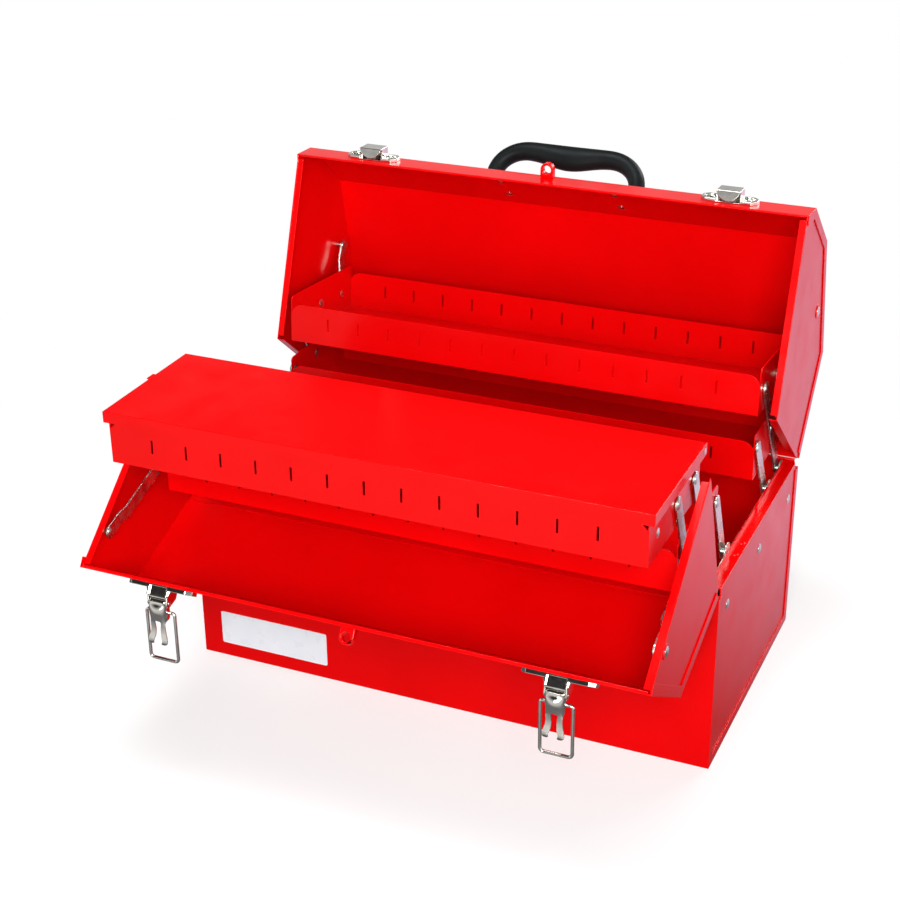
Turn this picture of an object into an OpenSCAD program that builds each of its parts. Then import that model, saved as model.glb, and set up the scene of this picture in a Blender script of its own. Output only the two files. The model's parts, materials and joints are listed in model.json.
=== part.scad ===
// Cantilever tool box: a hip-roofed sheet-steel case whose lid is split in two
// along its length. Each lid half swings on a piano hinge and carries a pair of
// trays outwards on parallel arms. The model stands open, with its origin at
// the middle of the case's underside: X runs along the box, -Y is the front
// and +Z is up. Lengths are in millimetres, angles in degrees.

/* [Case] */
// Length of the box over its end seams
case_w = 457; // [430:1:500]
// Depth of the box, front to back
case_d = 246; // [238:1:262]
// Height of the case up to the lid joint
case_h = 160; // [140:1:190]
// Thickness of the painted sheet
sheet = 1; // [0.8:0.1:1.1]
// Width of the seams folded over the end panels
seam_w = 8.5; // [6:0.5:11]
// Width of the ledge along the top of each end
ledge_w = 9.1; // [7:0.1:10]
// Height of the small lip inside the ledge
lip_h = 3; // [2:0.5:5]

/* [Lid] */
// Height of the lid's upright walls
lid_wall_h = 101; // [98:1:112]
// Rise of the sloping sides above the walls
lid_rise = 69; // [64:1:80]
// Depth of the flat top that carries the handle
top_d = 70; // [60:1:80]
// Part of the front slope that belongs to the rear half
strip_d = 25; // [22:0.5:30]
// How far behind the middle the split reaches the ledge
split_foot = 2.5; // [0:0.5:6]
// Width of the stiffening folds round the lid openings
hem_w = 5; // [4:0.5:5.5]
// Gap between the two closed halves, and under them
lid_gap = 0.6; // [0.4:0.1:1]
// Opening angle of the front half
front_open = 109.7; // [100:0.1:112]
// Opening angle of the rear half
rear_open = 40.1; // [34:0.1:44]

/* [Hinges] */
// Diameter of the hinge knuckles
knuckle_d = 3.2; // [3:0.1:3.6]
// Diameter of the hinge pins
pin_d = 1.8; // [1.6:0.1:2]
// Number of knuckles along a hinge
knuckles = 15; // [9:2:21]
// Height of a hinge leaf
leaf_h = 12; // [9:1:14]
// Radial clearance of the hinge pins
pin_play = 0.05; // [0.03:0.01:0.09]

/* [Arms] */
// Distance of the outer arm pivots from the outer faces of the case
pivot_inset = 18; // [17:0.5:20]
// Height of the front pivots above the ledge
front_pivot_up = 3; // [2:0.5:5]
// Depth of the rear pivots below the ledge
rear_pivot_down = 2; // [0:0.5:3]
// Spacing of the two parallel arms
arm_pitch = 41.5; // [38:0.5:45]
// Long arm, from the case pivot to the upper tray
long_arm = 115; // [112:0.5:118]
// Short arm, from the case pivot to the lower tray
short_arm = 60; // [58:0.5:62]
// Lean of the arms towards the middle when the box is shut
shut_lean = 50.5; // [49:0.5:52]
// Outward lean of the front arms when the box is open
front_lean = 24.5; // [20:0.5:26]
// Inward lean of the rear arms when the box is open
rear_lean = 31; // [29:0.5:34]
// Width of the arms and links
arm_w = 12; // [11:0.5:13]
// Thickness of the arms and links
arm_t = 1.5; // [1.2:0.1:1.6]
// Diameter of the pivot rivets
rivet_d = 5; // [4:0.5:5.5]
// Diameter of the rivet heads
rivet_head_d = 8.4; // [7.5:0.1:9]
// Radial clearance of an arm on its rivet
rivet_play = 0.08; // [0.05:0.01:0.1]

/* [Trays] */
// Clearance between the end of a tray and its arms
tray_end_clear = 0.4; // [0.3:0.05:0.6]
// Height of the long tray walls
tray_wall_h = 34; // [28:1:36]
// Height of the tray ends
tray_end_h = 40.5; // [38:0.5:41]
// Radius of the rounded upper corners of the long walls
tray_corner = 11; // [6:1:14]
// Clearance of a shut upper tray to the lid and to the middle
tray_clear = 1.5; // [1.2:0.1:2]
// Height of the upper tray rivets above the tray bottom
upper_rivet_h = 19.5; // [18:0.5:21]
// Height of the lower tray rivets above the tray bottom
lower_rivet_h = 27.3; // [25:0.1:28]
// Depth of the lower trays
lower_tray_d = 101.8; // [94:0.1:104]
// Number of divider slots in a long wall
slots = 13; // [7:1:14]
// Spacing of the divider slots
slot_pitch = 29.3; // [24:0.1:30]
// Height of a divider slot
slot_h = 11; // [7:0.5:13]
// Width of a divider slot
slot_t = 1.7; // [1.2:0.1:2.2]
// Droop of the open rear upper tray towards the back
rear_tilt = 5; // [0:0.5:6]
// Height of the cover's turned-down edges
cover_lip = 8; // [6:0.5:9]

/* [Latches] */
// Distance of the latches from the ends of the case
latch_inset = 68.5; // [50:0.5:88]
// Length of the draw-latch base plate
latch_base_w = 55; // [50:1:62]
// Length of a latch lever below its pin
lever_l = 34; // [30:1:38]
// Outer width of a latch lever
lever_w = 14; // [13:0.5:16]
// Outer width of the wire bail
bail_w = 27; // [25:0.5:30]
// Reach of the wire bail from its pivot
bail_l = 43; // [40:0.5:46]
// Diameter of the bail wire
bail_d = 2.6; // [2.2:0.1:3]
// Length of a catch plate
catch_w = 47; // [42:1:52]
// Width of the hook on a catch
hook_w = 20; // [17:0.5:21]
// Height of the hook on a catch
hook_h = 10.5; // [8:0.5:12]

/* [Hasp] */
// Inside radius of the padlock eyes
eye_r = 3.6; // [3:0.1:4]
// Thickness of metal round the padlock eyes
eye_rim = 2.2; // [1.8:0.1:2.6]
// Depth of the padlock eyes along the slope
eye_t = 6; // [5:0.5:7]

/* [Handle] */
// Overall length of the handle
handle_l = 145; // [130:1:160]
// Height of the handle above the lid
handle_h = 44; // [40:1:50]
// Thickness of the grip from front to back
handle_t = 18; // [16:1:24]
// Height of the grip bar at its ends
grip_h = 17; // [15:0.5:19]
// Width of the handle's legs
leg_w = 12.5; // [10:0.5:16]
// Distance of a foot's rivets to its edges
foot_edge = 6; // [5:0.5:7]
// Spacing of the handle's rivets along the box
handle_rivet_x = 104; // [96:1:108]
// Spacing of the handle's rivets across the box
handle_rivet_y = 26; // [22:1:28]
// Distance of the handle behind the middle of the lid's top
handle_back = 2.8; // [0:0.1:4]

/* [Label] */
// Width of the plain label
label_w = 102; // [80:1:120]
// Height of the plain label
label_h = 31; // [24:1:36]

/* [Hidden] */

RED = [0.85, 0.02, 0.03];
ZINC = [0.78, 0.80, 0.80];
DARK = [0.08, 0.09, 0.10];

half_w = case_w / 2;
half_d = case_d / 2;
latch_x = half_w - latch_inset;        // middle of the latches
total_h = case_h + lid_wall_h + lid_rise;

// Lid section, in the shut position, as [y, z] points
wall_top = [-half_d, case_h + lid_wall_h];
fold_top = [-top_d / 2, total_h];
slope_run = half_d - top_d / 2;
slope_a = atan(lid_rise / slope_run);
slope_l = norm([slope_run, lid_rise]);
free_d = slope_l - strip_d;            // from the wall fold to the split
split_top = wall_top + free_d * [cos(slope_a), sin(slope_a)];
split_bot = [split_foot, case_h];
split_a = atan2(split_top[1] - split_bot[1], split_top[0] - split_bot[0]);
split_l = norm(split_top - split_bot);

// Hinge line of the front half; the rear one is its mirror image
hinge_y = -half_d + knuckle_d / 2;
hinge_z = case_h;
edge_gap = knuckle_d / 2 + 1;          // wall edge to hinge line
corner_cut = 6;                        // notch beside each hinge end
hinge_l = case_w - 4 * sheet - 2;

// Layers along X beside the trays, from the middle outwards
end_out = half_w - sheet;              // outer face of an end panel
end_in = end_out - sheet;
lip_x = end_out - ledge_w;             // outer face of the lip
rail_x = lip_x - 2 * sheet;            // inner face of the arm rail
arm_x = rail_x - 4;                    // inner face of the arms
tray_x = arm_x - tray_end_clear;       // outer face of a tray end
tray_w = 2 * tray_x;
arm_out = arm_x + arm_t;
link_x = arm_x + 4.6;                  // link beside the trays
link_x2 = end_in - hem_w - arm_t - 0.5;  // link beside the lid end
cover_x = arm_x + 2.9;                 // inner face of the cover's sides
head_h = 1.15;                         // height of a rivet head
rivet_r = rivet_d / 2;
bore_r = rivet_r + rivet_play;
head_r = rivet_head_d / 2;

// Pivots in the front sense, as [y, z]; the rear ones are mirrored
front_z = case_h + front_pivot_up;
rear_z = case_h - rear_pivot_down;
pivot_y = -half_d + pivot_inset;
function outward(a) = [-sin(a), cos(a)];
function turn(p, c, a) = c + [cos(a) * (p[0] - c[0]) - sin(a) * (p[1] - c[1]),
                              sin(a) * (p[0] - c[0]) + cos(a) * (p[1] - c[1])];
front_p1 = [pivot_y, front_z];
rear_p1 = [pivot_y, rear_z];
front_q = front_p1 + short_arm * outward(front_lean);
front_r = front_p1 + long_arm * outward(front_lean);
rear_q = rear_p1 + short_arm * outward(-rear_lean);
rear_r = rear_p1 + long_arm * outward(-rear_lean);
pitch_v = [arm_pitch, 0];

// Where the shut trays lie, measured from their main rivet
shut_r_y = pivot_y + long_arm * sin(shut_lean);
shut_q_y = pivot_y + short_arm * sin(shut_lean);
upper_in = -tray_clear - shut_r_y;
upper_out = shut_r_y + half_d - sheet - sheet - tray_clear;
lower_in = arm_pitch + 6;
lower_out = lower_tray_d - lower_in;

// The drooping rear tray needs its second arm nearer to the long one
tray_gap = long_arm - short_arm;
rear_s_in = let (c = tray_gap * outward(-shut_lean) - pitch_v,
                 o = tray_gap * outward(-rear_lean)
                     - arm_pitch * [cos(rear_tilt), sin(rear_tilt)],
                 n = (o * o - c * c) / 2)
            -n / (o[0] - c[0]);
front_s1 = front_q - pitch_v;
front_s2 = front_r - pitch_v;
rear_s1 = rear_q - [rear_s_in, 0];
rear_s2 = turn(rear_r - pitch_v, rear_r, rear_tilt);

// Link rivets on the lid ends, shut, and on the lower trays
front_link_shut = [-50.2, total_h - 51.4];
rear_link_shut = [-64.5, total_h - 53];
hinge_p = [hinge_y, hinge_z];
front_link_lid = turn(front_link_shut, hinge_p, front_open);
rear_link_lid = turn(rear_link_shut, hinge_p, rear_open);
front_link_tray = front_s1;
rear_link_tray = rear_q - [rear_s_in + 10.4, 4];

// ---------- helpers ----------
module xcyl(x0, x1, r) {
    translate([x0, 0, 0]) rotate([0, 90, 0]) cylinder(h = x1 - x0, r = r, $fn = 40);
}
// Extrudes a [y, z] outline along +X from x0
module yz(x0, t) {
    translate([x0, 0, 0]) rotate([90, 0, 90]) linear_extrude(t) children();
}
// Extrudes an [x, z] outline along +Y from y0
module xz(y0, t) {
    translate([0, y0 + t, 0]) rotate([90, 0, 0]) linear_extrude(t) children();
}
module at(p) { translate([0, p[0], p[1]]) children(); }
module box(a, b) { translate(a) cube(b - a); }
// Band of width t along the right-hand side of the path p, with mitred folds
function side(a, b, t) = let (u = (b - a) / norm(b - a)) [t * u[1], -t * u[0]];
function inner(p, i, t) =
    i == 0 ? p[0] + side(p[0], p[1], t) :
    i == len(p) - 1 ? p[i] + side(p[i - 1], p[i], t) :
    let (a = side(p[i - 1], p[i], 1), b = side(p[i], p[i + 1], 1))
        p[i] + t * (a + b) / (1 + a * b);
function band(p, t) = concat(p, [for (i = [len(p) - 1 : -1 : 0]) inner(p, i, t)]);
module left() { mirror([1, 0, 0]) children(); }
module rear() { mirror([0, 1, 0]) children(); }
module ends() { children(); left() children(); }
// Swings a shut front-sense lid piece open
module swung(a) {
    at(hinge_p) rotate([a, 0, 0]) at(-hinge_p) children();
}
// Local frame on the front slope: Y up the slope, Z out of it
module slope() {
    at(wall_top) rotate([slope_a, 0, 0]) children();
}
// Rivet head, standing on x towards +X
module head(x, r = head_r, h = head_h) {
    translate([x, 0, 0]) rotate([0, 90, 0]) {
        cylinder(h = h * 0.45, r = r, $fn = 40);
        translate([0, 0, h * 0.45]) cylinder(h = h * 0.55, r1 = r, r2 = r * 0.62, $fn = 40);
    }
}
module head_back(x, r = head_r, h = head_h) {
    translate([x, 0, 0]) mirror([1, 0, 0]) head(0, r, h);
}
// Bar with round ends in the Y-Z plane, from p towards angle a
module bar(p, a, l, holes, w = arm_w) {
    translate(p) rotate(a) difference() {
        union() {
            translate([0, -w / 2]) square([l, w]);
            circle(d = w, $fn = 48);
            translate([l, 0]) circle(d = w, $fn = 48);
        }
        for (h = holes) translate([h, 0]) circle(r = bore_r, $fn = 40);
    }
}

// ---------- case ----------
module case_wrap() {
    top = case_h - edge_gap;
    color(RED) difference() {
        union() {
            box([-half_w, -half_d, 0], [half_w, half_d, sheet]);
            for (m = [0, 1]) mirror([0, m, 0])
                box([-half_w, -half_d, 0], [half_w, -half_d + sheet, top]);
            ends() {
                box([end_out, -half_d, 0], [half_w, half_d, seam_w]);
                for (m = [0, 1]) mirror([0, m, 0])
                    box([end_out, -half_d, 0], [half_w, -half_d + seam_w, top]);
            }
        }
        for (m = [0, 1]) mirror([0, m, 0]) ends()
            box([end_out - 2, -half_d - 1, case_h - corner_cut],
                [half_w + 1, -half_d + seam_w + 1, case_h + 1]);
    }
}

module case_end() {
    y1 = half_d - sheet;
    bump_y = [18.5, 55.5];
    color(RED) difference() {
        union() {
            box([end_in, -y1, sheet], [end_out, y1, case_h]);
            box([lip_x - sheet, -y1, case_h - sheet], [end_out, y1, case_h]);
            box([lip_x - sheet, -y1, case_h - sheet], [lip_x, y1, case_h + lip_h]);
            // raised stop beside the split
            box([lip_x - sheet, bump_y[0], case_h - sheet],
                [lip_x + 1.4, bump_y[1], case_h + lip_h + 1]);
            // two pressed dimples
            for (y = [-40, -60]) translate([lip_x + 4.4, y, case_h])
                cylinder(h = 1, r1 = 3, r2 = 1.6, $fn = 32);
        }
        for (m = [0, 1]) mirror([0, m, 0])
            box([lip_x - sheet - 1, -half_d - 1, case_h - corner_cut],
                [end_out + 1, -half_d + corner_cut + 2, case_h + lip_h + 2]);
        for (y = rail_rivet_y) translate([0, y, rail_rivet_z])
            xcyl(end_in - 1, end_out + 1, rivet_r);
    }
}
rail_rivet_y = [-92.7, 2, 96.7];
rail_rivet_z = case_h - 25.4;
rail_r = 8;                            // radius of the ears round the pivots
module case_end_right() case_end();
module case_end_left() left() case_end();

// Every arm pivot on one end, as [y, z]
rail_pivots = [front_p1, front_p1 + pitch_v, [-rear_p1[0], rear_z],
               [-rear_p1[0] - arm_pitch, rear_z]];
module arm_rail() {
    y1 = -pivot_y + rail_r + 1;
    z0 = rail_rivet_z - 8;
    z1 = rail_rivet_z + 8;
    color(ZINC) difference() {
        union() {
            box([end_in - sheet, -y1, z0], [end_in, y1, z1]);
            box([rail_x, -y1, z1 - sheet], [end_in, y1, z1]);
            box([rail_x, -y1, z1 - sheet], [rail_x + sheet, y1, case_h + lip_h - 1]);
            for (p = rail_pivots) at(p) xcyl(rail_x, rail_x + sheet, rail_r);
        }
        for (p = rail_pivots) at(p) xcyl(rail_x - 1, rail_x + sheet + 1, rivet_r);
        for (y = rail_rivet_y) translate([0, y, rail_rivet_z])
            xcyl(end_in - 2, end_out, rivet_r);
    }
}
module arm_rail_right() arm_rail();
module arm_rail_left() left() arm_rail();

module rail_rivets() color(ZINC) ends() for (y = rail_rivet_y)
    translate([0, y, rail_rivet_z]) {
        xcyl(end_in - sheet, end_out, rivet_r);
        head(end_out);
        head_back(end_in - sheet);
    }

module pivot_rivets() color(ZINC) ends() for (p = rail_pivots) at(p) {
    xcyl(arm_x - 0.1, rail_x + sheet, rivet_r);
    xcyl(arm_out + 0.1, rail_x, rivet_r + 1.5);
    head_back(arm_x - 0.1);
}

module label() {
    x = -half_w + 18.5;
    color("white") box([x, -half_d - 0.25, 13], [x + label_w, -half_d, 13 + label_h]);
}

// ---------- hinges ----------
knuckle_l = hinge_l / knuckles;
leaf_off = knuckle_d / 2 + 0.45;       // leaf edge to hinge line
// One leaf of the front hinge; odd picks its knuckles, s = -1 hangs it down
module leaf(odd, s) {
    r = knuckle_d / 2;
    y0 = -half_d + sheet;
    at([0, hinge_z]) difference() {
        union() {
            box([-hinge_l / 2, y0, min(s * leaf_off, s * (leaf_off + leaf_h))],
                [hinge_l / 2, y0 + sheet, max(s * leaf_off, s * (leaf_off + leaf_h))]);
            for (i = [odd : 2 : knuckles - 1]) {
                x0 = -hinge_l / 2 + i * knuckle_l + 0.15;
                x1 = x0 + knuckle_l - 0.3;
                translate([0, hinge_y, 0]) xcyl(x0, x1, r);
                box([x0, y0, min(s * r * 0.7, s * (leaf_off + 0.5))],
                    [x1, y0 + sheet, max(s * r * 0.7, s * (leaf_off + 0.5))]);
            }
        }
        translate([0, hinge_y, 0]) xcyl(-half_w, half_w, pin_d / 2 + pin_play);
    }
}
module pin() { at(hinge_p) xcyl(-hinge_l / 2, hinge_l / 2, pin_d / 2); }
module case_leaf_front() color(RED) leaf(0, -1);
module case_leaf_rear() color(RED) rear() leaf(0, -1);
module hinge_pin_front() color(ZINC) pin();
module hinge_pin_rear() color(ZINC) rear() pin();

// ---------- lids ----------
lid_bot = case_h + lid_gap;
wall_bot = case_h + edge_gap;
function on_slope(d) = wall_top + d * [cos(slope_a), sin(slope_a)];
hem_t = 2 * sheet + 0.6;               // thickness at a doubled edge
// Sheet along the path p with its seams over the ends; seam_p is their path
module wrap(p, seam_p) {
    yz(-half_w, case_w) polygon(band(p, sheet));
    ends() yz(end_out, sheet) polygon(band(seam_p, seam_w));
}
// Front half of the lid, shut
module front_wrap_shut() {
    free = on_slope(free_d - lid_gap / 2);
    wrap([[-half_d, wall_bot], wall_top, free],
         [[-half_d, case_h + corner_cut], wall_top, free]);
    // doubled hem along the free edge
    slope() box([-half_w + 3, free_d - 9, -hem_t],
                [half_w - 3, free_d - lid_gap / 2, -sheet + 0.2]);
}
module front_lid_wrap() color(RED) swung(front_open) front_wrap_shut();

// Fold along the split, standing in from an end panel; s picks its side
module split_hem(s) {
    at(split_bot) rotate([split_a - 90, 0, 0])
        translate([end_in - hem_w, s > 0 ? lid_gap / 2 : -lid_gap / 2 - sheet, 4])
            cube([hem_w + 0.01, sheet, split_l - 8]);
}
g2 = [-sin(split_a), cos(split_a)] * lid_gap / 2;  // half the gap, to the front
front_end_pts = [[-half_d + sheet, lid_bot + 8], [-half_d + corner_cut, lid_bot],
                 split_bot + g2 + [0, lid_gap], split_top + g2 - [0, 1.6],
                 wall_top + [sheet, -0.35]];
module lid_boss(p) {
    at(p) xcyl(end_out - 0.01, end_out + 0.7, head_r + 1.8);
}
module front_lid_end() {
    color(RED) difference() {
        union() {
            yz(end_in, sheet) polygon(front_end_pts);
            split_hem(-1);
            lid_boss(front_link_shut);
        }
        slope() box([0, -20, -sheet], [half_w, slope_l, 40]);
        at(front_link_shut) xcyl(end_in - 1, half_w + 2, rivet_r);
    }
}
module front_lid_end_right() swung(front_open) front_lid_end();
module front_lid_end_left() swung(front_open) left() front_lid_end();
module front_lid_leaf() color(RED) swung(front_open) leaf(1, 1);

// Rear half of the lid, shut, seen in the front sense: its own wall at -Y
module rear_wrap_shut() {
    e = on_slope(free_d + lid_gap / 2);
    rest = [wall_top, fold_top, [-fold_top[0], fold_top[1]], [-e[0], e[1]]];
    wrap(concat([[-half_d, wall_bot]], rest),
         concat([[-half_d, case_h + corner_cut]], rest));
    mirror([0, 1, 0]) slope() box([-half_w + 3, free_d + lid_gap / 2, -2 * sheet],
                                  [half_w - 3, free_d + 7, -sheet + 0.2]);
}
module rear_swung() rear() swung(rear_open) children();
module rear_lid_wrap() color(RED) rear_swung() difference() {
    rear_wrap_shut();
    for (x = [-1, 1], y = [-1, 1])
        translate([x * handle_rivet_x / 2, y * handle_rivet_y / 2 - handle_back, total_h - 5])
            cylinder(h = 10, r = 2, $fn = 32);
}

// End panel of the rear half, with the split mirrored into its own sense
m_top = [-split_top[0], split_top[1]];
m_bot = [-split_bot[0], split_bot[1]];
m_fold = [-fold_top[0], fold_top[1]];
g3 = [-g2[0], g2[1]];
rear_end_pts = [[-half_d + sheet, lid_bot + 8], [-half_d + corner_cut, lid_bot],
                m_bot - g3 + [0, lid_gap], m_top - g3 - [0, 1.3],
                m_fold - [0.4, sheet], fold_top + [0.4, -sheet],
                wall_top + [sheet, -0.35]];
module rear_lid_end() {
    color(RED) difference() {
        union() {
            yz(end_in, sheet) polygon(rear_end_pts);
            mirror([0, 1, 0]) split_hem(1);
            box([end_in - hem_w - 1, -half_d + 30, lid_bot],
                [end_in + 0.01, m_bot[0] - 2, lid_bot + sheet]);
            lid_boss(rear_link_shut);
        }
        slope() box([0, -20, -sheet], [half_w, slope_l + 20, 40]);
        mirror([0, 1, 0]) slope() box([0, -20, -sheet], [half_w, slope_l + 20, 40]);
        at(rear_link_shut) xcyl(end_in - 1, half_w + 2, rivet_r);
    }
}
module rear_lid_end_right() rear_swung() rear_lid_end();
module rear_lid_end_left() rear_swung() left() rear_lid_end();
module rear_lid_leaf() color(RED) rear_swung() leaf(1, 1);

// Rivet that holds a link against a lid end
module link_rivet() {
    xcyl(link_x2 - 0.1, end_out + 0.7, rivet_r);
    xcyl(link_x2 + arm_t + 0.1, end_in, rivet_r + 2);
    head(end_out + 0.7);
    head_back(link_x2 - 0.1);
}
module front_lid_rivets() color(ZINC) swung(front_open) {
    ends() at(front_link_shut) link_rivet();
    for (m = [0, 1]) mirror([m, 0, 0]) slope() latch_rivets(free_d - latch_back, latch_base_w);
}
module rear_lid_rivets() color(ZINC) rear_swung() {
    ends() at(rear_link_shut) link_rivet();
    for (m = [0, 1]) mirror([m, 0, 0]) mirror([0, 1, 0]) slope()
        latch_rivets(free_d + catch_up, catch_w);
    for (x = [-1, 1], y = [-1, 1])
        translate([x * handle_rivet_x / 2, y * handle_rivet_y / 2 - handle_back, total_h - sheet]) {
            cylinder(h = sheet + foot_t, r = 2, $fn = 32);
            translate([0, 0, -0.9]) cylinder(h = 0.9, r1 = 2.4, r2 = 3.6, $fn = 32);
        }
}

// ---------- latches, in the slope frame ----------
latch_back = 11;                       // base centre to the free edge
catch_up = 14.5;                       // catch centre above the free edge
plate_t = 1.2;
wing_h = 3.2;                          // height of the pressed rims
pin_n = 12.5;                          // lever pin above the slope
pin_back = 10;                         // lever pin to the free edge
lever_roll = 4;                        // radius of the lever's rolled top
lever_pin_r = 1.5;
// Centre of a wing's rivet, from the middle of a plate of width w
function wing_x(w) = w / 2 - 8;
module latch_rivets(d, w) {
    for (s = [-1, 1]) translate([latch_x + s * wing_x(w), d, plate_t])
        rotate([0, -90, 0]) head(0, 2.8, 1);
}
// Plate with two dished wings, either side of a middle piece of width m
module wings(w, m) {
    for (s = [-1, 1]) difference() {
        box([s > 0 ? m / 2 : -w / 2, -8, 0], [s > 0 ? w / 2 : -m / 2, 8, wing_h]);
        translate([s * wing_x(w), 0, plate_t]) cylinder(h = wing_h, r = 5.6, $fn = 40);
        // round outer corners
        for (m2 = [-1, 1]) translate([s * w / 2, m2 * 8, -1]) rotate(45)
            translate([-3, -3]) cube([6, 6, wing_h + 2]);
    }
    box([-m / 2 - 0.01, -8, 0], [m / 2 + 0.01, 8, plate_t]);
}
module latch_base() {
    c_out = lever_w / 2 + 0.4 + plate_t;
    back = latch_back - pin_back;      // plate centre behind the lever pin
    translate([latch_x, free_d - pin_back, 0]) difference() {
        union() {
            translate([0, -back, 0]) wings(latch_base_w, 2 * c_out);
            for (m = [0, 1]) mirror([m, 0, 0]) {
                box([c_out - plate_t, -back - 8, 0], [c_out, -back + 8, pin_n - 4]);
                yz(c_out - plate_t, plate_t) hull() {
                    translate([0, pin_n]) circle(r = 3.6, $fn = 32);
                    translate([-back - 8, pin_n - 5]) square([back + 13, 1]);
                }
            }
            box([-c_out, -back - 8, pin_n - 6], [c_out, -lever_roll - 1.2, pin_n - 6 + plate_t]);
        }
        translate([0, 0, pin_n]) xcyl(-30, 30, lever_pin_r + 0.08);
    }
}
module latch_base_right() color(ZINC) swung(front_open) slope() latch_base();
module latch_base_left() left() latch_base_right();

// Pin of the open latch lever, as [y, z]
pin_shut = wall_top + (free_d - pin_back) * [cos(slope_a), sin(slope_a)]
           + pin_n * [-sin(slope_a), cos(slope_a)];
pin_open = turn(pin_shut, hinge_p, front_open);
bail_drop = 8.5;                       // bail pivot below the lever pin
// Hanging lever: a channel with a rolled top, a window and a forked tail
module latch_lever() {
    w = lever_w / 2;
    translate([latch_x, 0, 0]) at(pin_open) difference() {
        union() {
            xz(-lever_roll, plate_t) difference() {
                union() {
                    translate([-w, -lever_l + 8]) square([lever_w, lever_l - 8]);
                    translate([-w - 1.5, -lever_l]) square([lever_w + 3, 9]);
                }
                translate([-3.5, -lever_l + 9]) square([7, 9]);
                translate([-2, -lever_l - 1]) square([4, 8]);
            }
            xcyl(-w, w, lever_roll);
            for (m = [0, 1]) mirror([m, 0, 0]) {
                yz(w - plate_t, plate_t)
                    polygon([[-lever_roll, 0], [3.4, 0], [3.4, -bail_drop - 3],
                             [-lever_roll + 2, -lever_l + 12], [-lever_roll, -lever_l + 12]]);
                xcyl(w - plate_t, w + 0.4 + plate_t, lever_pin_r);
            }
        }
        translate([0, 0.6, -bail_drop]) xcyl(-30, 30, bail_d / 2 + 0.08);
    }
}
module latch_lever_right() color(ZINC) latch_lever();
module latch_lever_left() left() latch_lever_right();

// Wire bail: two legs, a foot and two inturned pivots
module latch_bail() {
    r = bail_d / 2;
    w = bail_w / 2 - r;
    bend = 3;
    translate([latch_x, 0, 0]) at(pin_open + [0.6, -bail_drop]) {
        for (m = [0, 1]) mirror([m, 0, 0]) {
            translate([w, 0, -bail_l + bend]) cylinder(h = bail_l - bend, r = r, $fn = 24);
            xcyl(lever_w / 2 - plate_t - 1, w, r);
            translate([w, 0, 0]) sphere(r = r, $fn = 24);
            translate([w - bend, 0, -bail_l + bend]) rotate([90, 0, 0]) rotate([0, 0, -90])
                rotate_extrude(angle = 90, $fn = 32) translate([bend, 0]) circle(r = r, $fn = 24);
        }
        translate([0, 0, -bail_l]) xcyl(-w + bend, w - bend, r);
    }
}
module latch_bail_right() color(ZINC) latch_bail();
module latch_bail_left() left() latch_bail_right();

// Catch on the strip of the rear half: dished wings and a raised hook
module catch_plate() {
    hw = hook_w / 2;
    hd = 7.5;                          // half the depth of the hook
    t = plate_t;
    translate([latch_x, free_d + catch_up, 0]) {
        wings(catch_w, hook_w);
        for (m = [0, 1]) mirror([m, 0, 0]) box([hw - t, -hd + 3, 0], [hw, hd, hook_h]);
        box([-hw, hd - t, 0], [hw, hd, hook_h]);
        box([-hw, -hd, hook_h - t], [hw, hd, hook_h]);
        // tongue that hangs from the hook's front edge
        translate([0, -hd, hook_h]) rotate([-12, 0, 0]) xz(0, t) intersection() {
            translate([0, 1.6]) circle(r = hw, $fn = 64);
            translate([-hw, -hook_h + 2]) square([hook_w, hook_h - 2]);
        }
    }
}
module catch_right() color(ZINC) rear_swung() mirror([0, 1, 0]) slope() catch_plate();
module catch_left() left() catch_right();

// ---------- padlock eyes ----------
eye_n = eye_r + eye_rim + 1.2;         // eye centre above the slope
// Eye whose hole runs along the slope; d is its near end from the wall fold
module hasp_eye(d) {
    ro = eye_r + eye_rim;
    translate([0, d, 0]) difference() {
        union() {
            translate([0, 0, eye_n]) rotate([-90, 0, 0]) cylinder(h = eye_t, r = ro, $fn = 48);
            box([-ro, 0, 0], [ro, eye_t, eye_n]);
        }
        translate([0, -1, eye_n]) rotate([-90, 0, 0]) cylinder(h = eye_t + 2, r = eye_r, $fn = 48);
    }
}
module front_hasp_eye() color(RED) swung(front_open) slope() hasp_eye(free_d - eye_t - 1);
module rear_hasp_eye() color(RED) rear_swung() mirror([0, 1, 0]) slope()
    hasp_eye(slope_l - eye_t - 2);

// ---------- handle ----------
// Side view of the grip, half of it, from the middle outwards
module handle_half() {
    hl = handle_l / 2;
    gap_h = handle_h - grip_h;         // height of the finger gap
    belly = 20;                        // half the length of the grip's belly
    ro = 31;
    ri = 18;
    difference() {
        union() {
            translate([-1, 0]) square([hl - ro + 1, handle_h]);
            square([hl, handle_h - ro]);
            translate([hl - ro, handle_h - ro]) intersection() {
                circle(r = ro, $fn = 96);
                translate([-2, -2]) square(ro + 3);
            }
        }
        // finger gap, lower under the belly
        difference() {
            union() {
                translate([-2, -1]) square([hl - leg_w - ri + 2, gap_h + 1]);
                translate([0, -1]) square([hl - leg_w, gap_h - ri + 1]);
                translate([hl - leg_w - ri, gap_h - ri]) circle(r = ri, $fn = 96);
            }
            translate([-3, gap_h - 4.5])
                polygon([[0, 0], [belly - 9, 0], [belly + 4, 5], [0, 5]]);
        }
    }
}
foot_t = 4;                            // thickness of the handle's feet
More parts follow.
